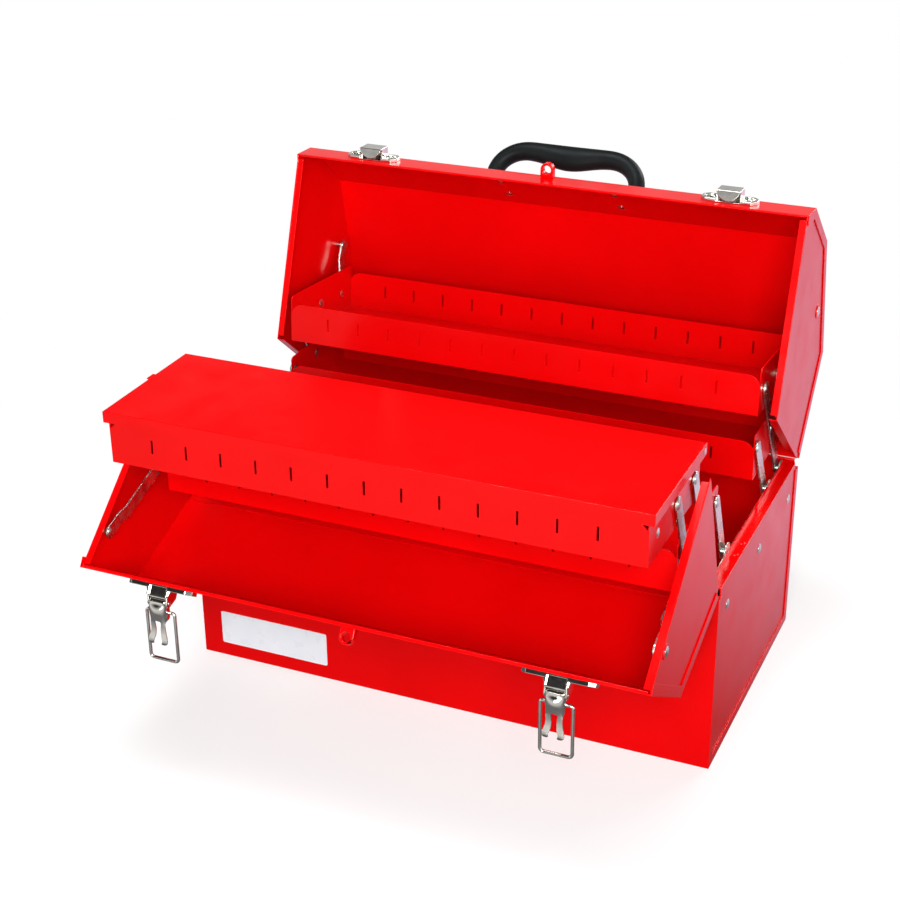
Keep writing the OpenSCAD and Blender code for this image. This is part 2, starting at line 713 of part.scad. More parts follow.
module handle() {
    r = handle_t / 2;
    foot = handle_rivet_y + 2 * foot_edge;
    color(DARK) rear_swung() translate([0, -handle_back, total_h]) difference() {
        union() {
            intersection() {
                xz(-r - 1, 2 * r + 2) {
                    handle_half();
                    mirror([1, 0]) handle_half();
                }
                // rounds the grip across the box
                hull() for (z = [0, handle_h - r])
                    translate([0, 0, z]) rotate([0, 90, 0])
                        cylinder(h = handle_l + 2, r = r, center = true, $fn = 32);
            }
            ends() translate([handle_rivet_x / 2 - 2 * foot_edge, -foot / 2, 0])
                cube([(handle_l - handle_rivet_x) / 2 + 2 * foot_edge, foot, foot_t]);
        }
        for (x = [-1, 1], y = [-1, 1])
            translate([x * handle_rivet_x / 2, y * handle_rivet_y / 2, -1])
                cylinder(h = foot_t + 1, r = 2, $fn = 32);
    }
}

// ---------- trays ----------
// A tray about its main rivet: rear_y behind it and front_y in front of it
module tray(front_y, rear_y, rivet_h) {
    z0 = -rivet_h;
    module wall(y) xz(y, sheet) difference() {
        union() {
            translate([-tray_x, z0]) square([tray_w, tray_wall_h - tray_corner]);
            translate([-tray_x + tray_corner, z0])
                square([tray_w - 2 * tray_corner, tray_wall_h]);
            for (s = [-1, 1])
                translate([s * (tray_x - tray_corner), z0 + tray_wall_h - tray_corner])
                    circle(r = tray_corner, $fn = 48);
        }
        for (i = [0 : slots - 1])
            translate([(i - (slots - 1) / 2) * slot_pitch - slot_t / 2,
                       z0 + tray_wall_h / 2 + 2 - slot_h / 2]) square([slot_t, slot_h]);
    }
    box([-tray_x, -front_y, z0], [tray_x, rear_y, z0 + sheet]);
    wall(-front_y);
    wall(rear_y - sheet);
    ends() yz(tray_x - sheet, sheet) difference() {
        translate([-front_y, z0]) square([front_y + rear_y, tray_end_h]);
        // round upper corners
        for (s = [0, 1]) translate([s > 0 ? rear_y : -front_y, z0 + tray_end_h])
            mirror([s, 0]) difference() {
                translate([-1, -end_corner]) square([end_corner + 1, end_corner + 1]);
                translate([end_corner, -end_corner]) circle(r = end_corner, $fn = 48);
            }
    }
}
end_corner = 3.5;                      // radius of a tray end's upper corners
// Bores through a tray's ends, as [y, z] about its main rivet
module bored(holes) difference() {
    children();
    for (p = holes) ends() at(p) xcyl(tray_x - 5, tray_x + 5, rivet_r);
}
// Rivet that carries an arm on a tray end
module arm_rivet() {
    xcyl(tray_x - sheet, arm_out + 0.05, rivet_r);
    xcyl(tray_x, arm_x - 0.05, rivet_r + 1.5);
    head(arm_out + 0.05);
    head_back(tray_x - sheet);
}
// Plain rivet through a tray corner
module corner_rivet() {
    xcyl(tray_x - sheet, tray_x, rivet_r);
    head(tray_x, head_r - 0.4, 0.9);
    head_back(tray_x - sheet, head_r - 0.4, 0.9);
}

// The cover turns on studs at the centres of the rounded rear corners
stud_y = upper_in - end_corner;
stud_z = tray_end_h - upper_rivet_h - end_corner;
stud_r = 2;
corner_hole = [-upper_out + 20, -2];   // corner rivet from the main rivet
front_upper_holes = [[0, 0], [-arm_pitch, 0], corner_hole, [stud_y, stud_z]];
module front_upper_tray() color(RED) at(front_r) bored(front_upper_holes)
    tray(upper_out, upper_in, upper_rivet_h);
module front_upper_rivets() color(ZINC) ends() {
    at(front_r) arm_rivet();
    at(front_s2) arm_rivet();
    at(front_r + corner_hole) corner_rivet();
    at(front_r + [stud_y, stud_z]) {
        xcyl(tray_x - sheet, cover_x, rivet_r);
        xcyl(cover_x - 0.01, cover_x + sheet + 0.1, stud_r);
        head(cover_x + sheet + 0.1, 3.2, 0.5);
    }
}
// Hinged cover of the front upper tray
module tray_cover() {
    z1 = tray_end_h - upper_rivet_h + 0.5;
    y0 = -upper_out - 0.3 - sheet;
    y1 = upper_in + 1;
    tab_y = -upper_out + 0.55 * (upper_out + upper_in);
    color(RED) at(front_r) difference() {
        union() {
            box([-cover_x - sheet, y0, z1], [cover_x + sheet, y1, z1 + sheet]);
            box([-cover_x - sheet, y0, z1 - cover_lip], [cover_x + sheet, y0 + sheet, z1 + sheet]);
            ends() {
                box([cover_x, y0, z1 - cover_lip], [cover_x + sheet, y1, z1 + sheet]);
                at([stud_y, stud_z]) xcyl(cover_x, cover_x + sheet, 4);
            }
            // finger tab on the left edge
            box([-cover_x - sheet - 2.5, tab_y, z1], [-cover_x, tab_y + 9, z1 + sheet]);
        }
        ends() at([stud_y, stud_z]) xcyl(cover_x - 1, cover_x + 5, stud_r + rivet_play);
    }
}

lower_holes = [[0, 0], [-arm_pitch, 0], [arm_pitch, 0]];
module front_lower_tray() color(RED) at(front_q) bored(lower_holes)
    tray(lower_out, lower_in, lower_rivet_h);
module front_lower_rivets() color(ZINC) ends() for (d = [-1, 0, 1])
    at(front_q + d * pitch_v) arm_rivet();

module rear_upper_tray() color(RED) rear() at(rear_r) rotate([rear_tilt, 0, 0])
    bored([[0, 0], [-arm_pitch, 0], corner_hole])
        tray(upper_out, upper_in, upper_rivet_h);
module rear_upper_rivets() color(ZINC) rear() ends() {
    at(rear_r) arm_rivet();
    at(rear_s2) arm_rivet();
    at(rear_r) rotate([rear_tilt, 0, 0]) at(corner_hole) corner_rivet();
}
module rear_lower_tray() color(RED) rear() at(rear_q)
    bored([[0, 0], [arm_pitch, 0], rear_s1 - rear_q, rear_link_tray - rear_q])
        tray(lower_out, lower_in, lower_rivet_h);
module rear_lower_rivets() color(ZINC) rear() ends() {
    for (p = [rear_q, rear_q + pitch_v, rear_s1]) at(p) arm_rivet();
    at(rear_link_tray) {
        xcyl(tray_x - sheet, arm_out + 0.05 + head_h, rivet_r);
        xcyl(tray_x, arm_out + 0.05 + head_h - 0.02, rivet_r + 1);
        head_back(tray_x - sheet);
    }
}

// ---------- arms ----------
module arm_plate(p, lean, l, holes) {
    color(ZINC) yz(arm_x, arm_t) bar(p, 90 + lean, l, holes);
}
module front_long_arm_right()
    arm_plate(front_p1, front_lean, long_arm, [0, short_arm, long_arm]);
module front_long_arm_left() left() front_long_arm_right();
module front_case_arm_right()
    arm_plate(front_p1 + pitch_v, front_lean, short_arm, [0, short_arm]);
module front_case_arm_left() left() front_case_arm_right();
module front_tray_arm_right()
    arm_plate(front_s1, front_lean, tray_gap, [0, tray_gap]);
module front_tray_arm_left() left() front_tray_arm_right();
module rear_long_arm_right()
    rear() arm_plate(rear_p1, -rear_lean, long_arm, [0, short_arm, long_arm]);
module rear_long_arm_left() left() rear_long_arm_right();
module rear_case_arm_right()
    rear() arm_plate(rear_p1 + pitch_v, -rear_lean, short_arm, [0, short_arm]);
module rear_case_arm_left() left() rear_case_arm_right();
rear_tray_v = rear_s2 - rear_s1;
module rear_tray_arm_right() rear() color(ZINC) yz(arm_x, arm_t) difference() {
    bar(rear_s1, atan2(rear_tray_v[1], rear_tray_v[0]), norm(rear_tray_v), [0]);
    translate(rear_s2) circle(r = bore_r + 0.5, $fn = 40);
}
module rear_tray_arm_left() left() rear_tray_arm_right();

// Link from a lid end to a lower tray; it steps inwards past the lid's fold
module link(p, q) {
    v = q - p;
    l = norm(v);
    w = arm_w - 1;
    color(ZINC) at(p) rotate([atan2(v[1], v[0]), 0, 0]) {
        difference() {
            intersection() {
                translate([0, 0, -w / 2]) linear_extrude(w)
                    polygon([[link_x2, -w], [link_x2, 14], [link_x, 24], [link_x, l + w],
                             [link_x + arm_t, l + w], [link_x + arm_t, 24.3],
                             [link_x2 + arm_t, 14.3], [link_x2 + arm_t, -w]]);
                yz(link_x - 5, 20) bar([0, 0], 0, l, [], w);
            }
            xcyl(link_x2 - 1, link_x2 + arm_t + 1, bore_r);
        }
        translate([0, l, 0]) {
            xcyl(arm_out + head_h + 0.4, link_x + 0.01, 3);
            head(link_x + arm_t, head_r, 0.8);
        }
    }
}
module front_link_right() link(front_link_lid, front_link_tray);
module front_link_left() left() front_link_right();
module rear_link_right() rear() link(rear_link_lid, rear_link_tray);
module rear_link_left() left() rear_link_right();

case_wrap();
case_end_left();
case_end_right();
arm_rail_left();
arm_rail_right();
rail_rivets();
pivot_rivets();
case_leaf_front();
case_leaf_rear();
hinge_pin_front();
hinge_pin_rear();
label();
front_lid_wrap();
front_lid_end_left();
front_lid_end_right();
front_lid_leaf();
front_lid_rivets();
front_hasp_eye();
latch_base_left();
latch_base_right();
latch_lever_left();
latch_lever_right();
latch_bail_left();
latch_bail_right();
rear_lid_wrap();
rear_lid_end_left();
rear_lid_end_right();
rear_lid_leaf();
rear_lid_rivets();
rear_hasp_eye();
catch_left();
catch_right();
handle();
front_link_left();
front_link_right();
rear_link_left();
rear_link_right();
front_upper_tray();
front_upper_rivets();
tray_cover();
front_lower_tray();
front_lower_rivets();
rear_upper_tray();
rear_upper_rivets();
rear_lower_tray();
rear_lower_rivets();
front_long_arm_left();
front_long_arm_right();
front_case_arm_left();
front_case_arm_right();
front_tray_arm_left();
front_tray_arm_right();
rear_long_arm_left();
rear_long_arm_right();
rear_case_arm_left();
rear_case_arm_right();
rear_tray_arm_left();
rear_tray_arm_right();
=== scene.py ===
# %% [markdown]
# # A cantilever tool box
# This lesson dresses a imported model of a steel tool box: a folded case, a hip-roofed lid split in
# two halves, four trays on parallel arms, two draw latches and a carrying handle.
# The imported solids give every size and place, so the lesson starts by loading them, and the box
# that they fill is kept. All lengths are in metres.

# %% Load the imported model
import json
import math

import bmesh
import bpy
from mathutils import Matrix, Vector


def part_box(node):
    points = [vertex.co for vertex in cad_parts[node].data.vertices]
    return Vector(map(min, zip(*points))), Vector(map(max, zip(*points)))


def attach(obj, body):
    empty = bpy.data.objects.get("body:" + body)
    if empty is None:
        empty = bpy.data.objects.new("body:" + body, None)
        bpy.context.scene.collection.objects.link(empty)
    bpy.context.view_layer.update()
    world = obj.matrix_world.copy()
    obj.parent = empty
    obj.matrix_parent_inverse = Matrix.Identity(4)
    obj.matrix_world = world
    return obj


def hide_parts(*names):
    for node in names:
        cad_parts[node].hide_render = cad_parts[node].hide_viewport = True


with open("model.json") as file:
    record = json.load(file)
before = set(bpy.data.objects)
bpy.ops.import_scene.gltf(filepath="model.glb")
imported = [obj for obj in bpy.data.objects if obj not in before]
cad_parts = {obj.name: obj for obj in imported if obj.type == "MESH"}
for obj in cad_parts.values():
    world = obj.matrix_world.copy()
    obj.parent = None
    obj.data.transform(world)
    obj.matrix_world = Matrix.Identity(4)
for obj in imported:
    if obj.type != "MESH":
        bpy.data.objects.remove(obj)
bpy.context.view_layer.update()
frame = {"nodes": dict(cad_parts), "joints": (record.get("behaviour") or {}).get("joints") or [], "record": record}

nodes = frame["nodes"]
MM = 0.001

# %% [markdown]
# ## The camera
# The camera looks down on the box from its right front. A wide lens close by would make the near
# corner loom; a long lens far away keeps the box's edges nearly parallel. The camera's own axes
# are worked out from two angles, and a very small roll levels the view.

# %% Set up the camera
VIEW_YAW = math.radians(23.89)
VIEW_PITCH = math.radians(25.93)
VIEW_ROLL = math.radians(-0.64)
VIEW_DISTANCE = 1.5583
VIEW_TARGET = Vector((0, 0, 0.1286))
VIEW_SLIDE = (-0.04254, 0.04851)
LENS = 72.48

back = Vector((math.sin(VIEW_YAW) * math.cos(VIEW_PITCH),
               -math.cos(VIEW_YAW) * math.cos(VIEW_PITCH), math.sin(VIEW_PITCH)))
level_right = Vector((math.cos(VIEW_YAW), math.sin(VIEW_YAW), 0))
level_up = back.cross(level_right)
right = level_right * math.cos(VIEW_ROLL) + level_up * math.sin(VIEW_ROLL)
up = level_up * math.cos(VIEW_ROLL) - level_right * math.sin(VIEW_ROLL)
eye = VIEW_TARGET + back * VIEW_DISTANCE + right * VIEW_SLIDE[0] + up * VIEW_SLIDE[1]

bpy.ops.object.camera_add()
camera = bpy.context.object
camera.matrix_world = Matrix((right, up, back)).transposed().to_4x4()
camera.location = eye
camera.data.sensor_width = 36
camera.data.lens = LENS
bpy.context.scene.camera = camera
print("camera at", tuple(round(v, 3) for v in eye))

# %% [markdown]
# ## The studio
# The box stands in a white studio, and every light, floor and finish below is a tree of shader
# nodes. The trees could be wired in the shader editor; short helpers keep each node on one line
# instead. One adds a node, one tells which rays come from the camera, and two turn a value into
# a colour or a number.


# %% Helpers for nodes
def add_node(tree, kind, **values):
    """Adds a shader node; values that name an input set it, the others are the node's own."""
    made = tree.nodes.new(kind)
    for key, value in values.items():
        name = key.replace("_", " ")
        if name in made.inputs:
            made.inputs[name].default_value = value
        else:
            setattr(made, key, value)
    return made


def seen_by_eye(tree):
    """A value of 1 on rays that come straight from the camera, or through glass."""
    rays = add_node(tree, "ShaderNodeLightPath")
    both = add_node(tree, "ShaderNodeMath", operation="MAXIMUM")
    tree.links.new(rays.outputs["Is Camera Ray"], both.inputs[0])
    tree.links.new(rays.outputs["Is Transmission Ray"], both.inputs[1])
    return both.outputs[0]


def blend_colours(tree, value, low, high, start=0.35, end=0.65):
    """The colour between low and high that the value picks."""
    ramp = add_node(tree, "ShaderNodeValToRGB")
    ramp.color_ramp.elements[0].position = start
    ramp.color_ramp.elements[0].color = (*low, 1)
    ramp.color_ramp.elements[1].position = end
    ramp.color_ramp.elements[1].color = (*high, 1)
    tree.links.new(value, ramp.inputs["Fac"])
    return ramp.outputs["Color"]


def between(tree, value, low, high, start=0.3, end=0.7):
    """The number between low and high that the value picks."""
    scaled = add_node(tree, "ShaderNodeMapRange")
    for key, number in (("From Min", start), ("From Max", end), ("To Min", low), ("To Max", high)):
        scaled.inputs[key].default_value = number
    tree.links.new(value, scaled.inputs["Value"])
    return scaled.outputs["Result"]


# %% [markdown]
# ## The world
# A product studio is white behind the object and dark in front of it and above. Gloss enamel and
# plated metal mirror that as clean highlights between dark bands. One even white world would be
# simpler but would wash the red out, so this world has three faces: plain white for the eye, a
# weak even light for the paint, and for reflections a glow that falls with height and towards
# the front.

# %% The three faces of the world
WORLD_LIGHT = 0.05
DARK_SIDE = 0.58                    # what a reflection sees of the front half of the studio
FRONT_TO_BACK = (-0.25, 0.35)       # the directions along Y between which it brightens
OVERHEAD = 0.05                     # what it sees of the ceiling
WALL_TO_CEILING = (0.1, 0.38)       # the directions along Z between which it darkens
world = bpy.data.worlds.new("studio")
bpy.context.scene.world = world
world.use_nodes = True
sky = world.node_tree
sky.nodes.clear()
link = sky.links.new
dim = add_node(sky, "ShaderNodeBackground", Color=(1, 1, 1, 1), Strength=WORLD_LIGHT)
white = add_node(sky, "ShaderNodeBackground", Color=(1, 1, 1, 1), Strength=1)
mirrored = add_node(sky, "ShaderNodeBackground", Color=(1, 1, 1, 1))
direction = add_node(sky, "ShaderNodeTexCoord")
parts = add_node(sky, "ShaderNodeSeparateXYZ")
link(direction.outputs["Generated"], parts.inputs[0])
height = between(sky, parts.outputs["Z"], 1, OVERHEAD, *WALL_TO_CEILING)
behind = between(sky, parts.outputs["Y"], DARK_SIDE, 1, *FRONT_TO_BACK)
both = add_node(sky, "ShaderNodeMath", operation="MULTIPLY")
link(height, both.inputs[0])
link(behind, both.inputs[1])
link(both.outputs[0], mirrored.inputs["Strength"])
print("world light", WORLD_LIGHT)

# %% Choose a face by the kind of ray
rays = add_node(sky, "ShaderNodeLightPath")
see_mirrored = add_node(sky, "ShaderNodeMixShader")
see_white = add_node(sky, "ShaderNodeMixShader")
world_out = add_node(sky, "ShaderNodeOutputWorld")
link(rays.outputs["Is Glossy Ray"], see_mirrored.inputs[0])
link(dim.outputs[0], see_mirrored.inputs[1])
link(mirrored.outputs[0], see_mirrored.inputs[2])
link(seen_by_eye(sky), see_white.inputs[0])
link(see_mirrored.outputs[0], see_white.inputs[1])
link(white.outputs[0], see_white.inputs[2])
link(see_white.outputs[0], world_out.inputs[0])
bpy.context.scene.view_settings.view_transform = "Standard"
print(len(sky.nodes), "nodes in the world")

# %% [markdown]
# ## The floor
# A studio's sweep is a sheet of white paper that curves up behind the object. A curved
# sheet could be modelled, but its bend shows from other sides, so this floor is flat: matt white
# near the box, where it takes the shadow, and fading into plain white further out, so that no
# horizon shows.

# %% Lay the floor
FLOOR_SIZE = 14
FLOOR_WHITE = 0.93
FADE_REACH = (0.28, 0.75)           # the distances between which it fades into plain white
FADE_START = 0.55                   # how far it has faded at the nearer one
bpy.ops.object.select_all(action="DESELECT")
bpy.ops.mesh.primitive_plane_add(size=FLOOR_SIZE, location=(0, 0, 0))
floor = bpy.context.object
floor.name = "floor"
floor_paint = bpy.data.materials.new("floor_white")
floor_paint.use_nodes = True
tree = floor_paint.node_tree
tree.nodes.clear()
link = tree.links.new
place = add_node(tree, "ShaderNodeTexCoord")
reach = add_node(tree, "ShaderNodeVectorMath", operation="LENGTH")
matt = add_node(tree, "ShaderNodeBsdfDiffuse", Color=(FLOOR_WHITE,) * 3 + (1,))
glow = add_node(tree, "ShaderNodeEmission", Color=(1, 1, 1, 1), Strength=1)
shown = add_node(tree, "ShaderNodeMixShader")
link(place.outputs["Object"], reach.inputs[0])
link(between(tree, reach.outputs["Value"], FADE_START, 1, *FADE_REACH), shown.inputs[0])
link(matt.outputs[0], shown.inputs[1])
link(glow.outputs[0], shown.inputs[2])
print("floor", FLOOR_SIZE, "m wide")

# %% [markdown]
# ## The floor as the box sees it
# Paint and metal light up from the floor as well. A full white floor would fill every hollow of
# the box with light, so what bounces is weak. Reflections see a glow painted along the sheet:
# pale in front, a painted shadow under the box and a painted rosy sheen behind it, which is
# what the box's end panels mirror.

# %% The bounce, and the painted shade and sheen that reflections see
FLOOR_BOUNCE = 0.15
SWEEP_NEAR, SWEEP_FAR = -0.8, 0.4   # the reach of the gradient along Y
# a glow that only reflections see: painted shadow under the box, painted rosy sheen behind it
PAINTED_SWEEP = ((0, (0.80, 0.80, 0.77)), (0.21, (0.62, 0.62, 0.60)), (0.33, (0.20, 0.20, 0.21)),
         (0.62, (0.12, 0.12, 0.13)), (0.92, (1.02, 0.72, 0.92)))    # share of it, colour
parts = add_node(tree, "ShaderNodeSeparateXYZ")
sweep = add_node(tree, "ShaderNodeValToRGB")
while len(sweep.color_ramp.elements) < len(PAINTED_SWEEP):
    sweep.color_ramp.elements.new(0.5)
for stop, (share, colour) in zip(sweep.color_ramp.elements, PAINTED_SWEEP):
    stop.position = share
    stop.color = (*colour, 1)
dull = add_node(tree, "ShaderNodeBsdfDiffuse", Color=(FLOOR_BOUNCE,) * 3 + (1,))
mirrored = add_node(tree, "ShaderNodeEmission")
link(place.outputs["Object"], parts.inputs[0])
link(between(tree, parts.outputs["Y"], 0, 1, SWEEP_NEAR, SWEEP_FAR), sweep.inputs["Fac"])
link(sweep.outputs["Color"], mirrored.inputs["Color"])
print(len(PAINTED_SWEEP), "stops in the sweep")

# %% Choose what a ray meets on the floor
rays = add_node(tree, "ShaderNodeLightPath")
see_mirrored = add_node(tree, "ShaderNodeMixShader")
seen = add_node(tree, "ShaderNodeMixShader")
floor_out = add_node(tree, "ShaderNodeOutputMaterial")
link(rays.outputs["Is Glossy Ray"], see_mirrored.inputs[0])
link(dull.outputs[0], see_mirrored.inputs[1])
link(mirrored.outputs[0], see_mirrored.inputs[2])
link(seen_by_eye(tree), seen.inputs[0])
link(see_mirrored.outputs[0], seen.inputs[1])
link(shown.outputs[0], seen.inputs[2])
link(seen.outputs[0], floor_out.inputs[0])
floor.data.materials.append(floor_paint)
print(len(tree.nodes), "nodes in the floor")

# %% [markdown]
# ## The lamps
# Soft boxes light the studio. The key stands to the right front and models the forms, the low
# and side lamps open the front and the right ends, the top lamp lies on the trays and the cover,
# and the left and back lamps keep the far sides readable. Point lamps would be simpler, but they
# throw hard shadows and their highlights are dots.

# %% Hang the lamps
AIM = (0, 0, 0.18)


def softbox(name, place, size, power):
    """A square area lamp that faces the box."""
    bpy.ops.object.light_add(type="AREA", location=place)
    lamp = bpy.context.object
    lamp.name = name
    lamp.data.size = size
    lamp.data.energy = power
    lamp.rotation_euler = (Vector(AIM) - Vector(place)).to_track_quat("-Z", "Y").to_euler()
    return lamp


LAMPS = [softbox("key", (0.75, -1.85, 1.15), 0.8, 48),
         softbox("low", (0.15, -2.1, 0.35), 0.7, 12),
         softbox("side", (2.0, -0.5, 0.8), 1.0, 15),
         softbox("top", (-0.2, -0.2, 2.2), 0.9, 33),
         softbox("left", (-2.0, -0.6, 1.0), 1.2, 8),
         softbox("back", (1.0, 2.2, 1.3), 1.2, 34)]
print({lamp.name: lamp.data.energy for lamp in LAMPS})

# %% [markdown]
# ## Finishes
# The real box has five finishes, and none is one flat colour. Each could be painted by hand on an
# unwrapped mesh; noise does it for every piece at once. It reads Object coordinates, so that a
# pattern keeps its scale on every piece. One recipe serves all five: a cloudy tone, a cloudy
# roughness, and bumps on top of each other.


# %% Noise and bumps
def noise(tree, scale, detail):
    """Noise on Object coordinates, at so many waves a metre; returns its value."""
    place = add_node(tree, "ShaderNodeTexCoord")
    made = add_node(tree, "ShaderNodeTexNoise", Scale=scale, Detail=detail)
    tree.links.new(place.outputs["Object"], made.inputs["Vector"])
    return made.outputs["Fac"]


def add_bumps(tree, shader, bumps):
    """Bumps on top of each other; each is (waves a metre, detail, depth in metres, strength)."""
    below = None
    for scale, detail, depth, strength in bumps:
        bump = add_node(tree, "ShaderNodeBump", Strength=strength, Distance=depth)
        tree.links.new(noise(tree, scale, detail), bump.inputs["Height"])
        if below:
            tree.links.new(below, bump.inputs["Normal"])
        below = bump.outputs["Normal"]
    tree.links.new(below, shader.inputs["Normal"])


# %% The recipe
def new_finish(name, tone, roughness, bumps, metallic=0, specular=0.5):
    """A finish; tone and roughness are (waves a metre, detail, low, high)."""
    made = bpy.data.materials.new(name)
    made.use_nodes = True
    tree = made.node_tree
    tree.nodes.clear()
    shader = add_node(tree, "ShaderNodeBsdfPrincipled", Metallic=metallic,
                      Specular_IOR_Level=specular)
    out = add_node(tree, "ShaderNodeOutputMaterial")
    scale, detail, low, high = tone
    colour = blend_colours(tree, noise(tree, scale, detail), low, high)
    scale, detail, low, high = roughness
    dullness = between(tree, noise(tree, scale, detail), low, high)
    tree.links.new(colour, shader.inputs["Base Color"])
    tree.links.new(dullness, shader.inputs["Roughness"])
    tree.links.new(shader.outputs[0], out.inputs[0])
    add_bumps(tree, shader, bumps)
    print(name, len(tree.nodes), "nodes")
    return made


# %% [markdown]
# ### Red enamel
# The folded sheet is sprayed and baked. Enamel flows out with a faint orange peel, over a sheet
# that is itself never quite flat, so there are two bumps: one as long as a hand and one as fine
# as a pinhead. A clear coat could carry the gloss, but one sharp layer looks the same here.

# %% Red enamel
ENAMEL = new_finish("red_enamel", tone=(9, 4, (0.66, 0.0004, 0.0008), (0.72, 0.0006, 0.0014)),
                    roughness=(40, 5, 0.17, 0.27), specular=0.2,
                    bumps=[(9, 1, 0.4 * MM, 0.1), (620, 2, 0.01 * MM, 0.1)])

# %% [markdown]
# ### Bright zinc
# Arms, links and rivets are zinc plated and tumbled. Zinc is a pale bluish metal with clouds in
# it, duller than nickel. Stretched noise would give the lines of a brushed plate, but tumbling
# leaves no direction, so plain noise moves the tone and the roughness.

# %% Bright zinc
ZINC = new_finish("bright_zinc", tone=(60, 4, (0.52, 0.66, 0.60), (0.58, 0.72, 0.66)),
                  roughness=(140, 5, 0.2, 0.36), metallic=1,
                  bumps=[(60, 2, 0.03 * MM, 0.1), (300, 2, 0.004 * MM, 0.1)])

# %% [markdown]
# ### Bright nickel
# The latches are pressed first and nickel plated after. The plate is nearly a mirror and a
# little warm, and the pressed steel below it waves, which bends the reflections. The waves could
# be sculpted, but a bump a tenth of a millimetre deep bends them as well and adds no faces.

# %% Bright nickel
NICKEL = new_finish("bright_nickel", tone=(120, 4, (0.66, 0.63, 0.58), (0.77, 0.75, 0.71)),
                    roughness=(260, 4, 0.06, 0.14), metallic=1,
                    bumps=[(90, 2, 0.1 * MM, 0.35), (2200, 2, 0.006 * MM, 0.3)])

# %% [markdown]
# ### Black moulded plastic
# The handle is moulded in a black plastic with a fine spark-eroded grain, which scatters what
# little it reflects. The grain could be displaced into the mesh, but from here only its dull
# sheen shows, so a fine bump and a low gloss make it.

# %% Black moulded plastic
BLACK = new_finish("black_plastic",
                   tone=(30, 4, (0.006, 0.0075, 0.008), (0.010, 0.012, 0.0125)),
                   roughness=(70, 5, 0.36, 0.48), specular=0.08,
                   bumps=[(30, 2, 0.25 * MM, 0.3), (1900, 3, 0.02 * MM, 0.5)])

# %% [markdown]
# ### White film
# The label is a thin white film on the painted sheet. It follows the sheet's faint waves and is
# a little cool beside the red. An image could carry a print; this film is blank, so a noise that
# moves its tone and gloss a little is all it needs.

# %% White film
FILM = new_finish("white_film", tone=(55, 5, (0.75, 0.775, 0.82), (0.79, 0.81, 0.85)),
                  roughness=(90, 3, 0.25, 0.36), bumps=[(35, 1, 0.15 * MM, 0.3)])

# %% [markdown]
# ## Dress the solids
# Every solid first gets the finish of its material slot. Pieces that are modelled below then
# stand for their solids; the two hinge pins stay as they are, for only their ends show.

# %% Give every node its finish
FINISH_OF_SLOT = {"red_paint": ENAMEL, "zinc_plate": ZINC, "nickel_plate": NICKEL,
                  "black_grip": BLACK, "white_label": FILM}
slot_of = {part["node"]: part["material_slot"] for part in frame["record"]["subparts"]}
for name, solid in nodes.items():
    solid.data.materials.clear()
    solid.data.materials.append(FINISH_OF_SLOT[slot_of[name]])
print("finishes:", sorted(set(slot_of.values())))

# %% [markdown]
# ## Working by hand
# A few short helpers stand in for the hands. They select one object, open it in edit mode, pick
# vertices, edges or faces by a test of their place, and push, turn or stretch what is picked. The
# rotate operator turns against the usual sense when no window is open, so its angle is negated.


# %% Select, open and pick
def only(obj):
    """Selects one object and makes it active."""
    bpy.ops.object.select_all(action="DESELECT")
    obj.select_set(True)
    bpy.context.view_layer.objects.active = obj


def edit(obj):
    """Opens one object in edit mode."""
    only(obj)
    bpy.ops.object.mode_set(mode="EDIT")


def leave():
    """Goes back to object mode."""
    bpy.ops.object.mode_set(mode="OBJECT")


def pick(kind, test):
    """Picks the VERTs, EDGEs or FACEs that pass a test of their middle and themselves."""
    bpy.ops.mesh.select_mode(type=kind)
    bpy.ops.mesh.select_all(action="DESELECT")
    shape = bmesh.from_edit_mesh(bpy.context.edit_object.data)
    picked = 0
    for part in {"VERT": shape.verts, "EDGE": shape.edges, "FACE": shape.faces}[kind]:
        corners = [part] if kind == "VERT" else list(part.verts)
        middle = sum((corner.co for corner in corners), Vector()) / len(corners)
        if test(middle, part):
            part.select_set(True)
            picked += 1
    shape.select_flush_mode()
    bmesh.update_edit_mesh(bpy.context.edit_object.data)
    return picked


# %% Push, turn and stretch
def push(x=0, y=0, z=0):
    """Moves what is picked."""
    bpy.ops.transform.translate(value=(x, y, z))


def turn(degrees, axis, centre):
    """Turns what is picked by the right-hand rule round an axis through the centre."""
    bpy.ops.transform.rotate(value=-math.radians(degrees), orient_axis=axis, center_override=centre)


def stretch(value, centre):
    """Scales what is picked away from the centre."""
    bpy.ops.transform.resize(value=value, center_override=centre)


# %% [markdown]
# ## Finishing a piece
# Every piece ends the same way. Its modifiers are applied, its curves are shaded smooth while
# weighted normals keep the flats flat, and it is then tied to the body and the slot of the solid
# that it stands for.

# %% Apply, smooth and join
SHARP = 32                          # degrees; an edge that turns by more than this stays sharp


def apply_modifier(obj, kind, **settings):
    """Adds a modifier, sets it and applies it at once."""
    only(obj)
    modifier = obj.modifiers.new(kind.title(), kind)
    for key, value in settings.items():
        setattr(modifier, key, value)
    bpy.ops.object.modifier_apply(modifier=modifier.name)


def smooth(obj, degrees=SHARP):
    """Shades the curves smooth and keeps the flats flat."""
    only(obj)
    bpy.ops.object.shade_smooth_by_angle(angle=math.radians(degrees))
    apply_modifier(obj, "WEIGHTED_NORMAL", keep_sharp=True)


def joined(pieces):
    """Joins several objects into the first."""
    bpy.ops.object.select_all(action="DESELECT")
    for piece in pieces:
        piece.select_set(True)
    bpy.context.view_layer.objects.active = pieces[0]
    bpy.ops.object.join()
    return pieces[0]


# %% Settle a piece in its place
body_of = {name: body for body, members in frame["record"]["behaviour"]["bodies"].items()
           for name in members}


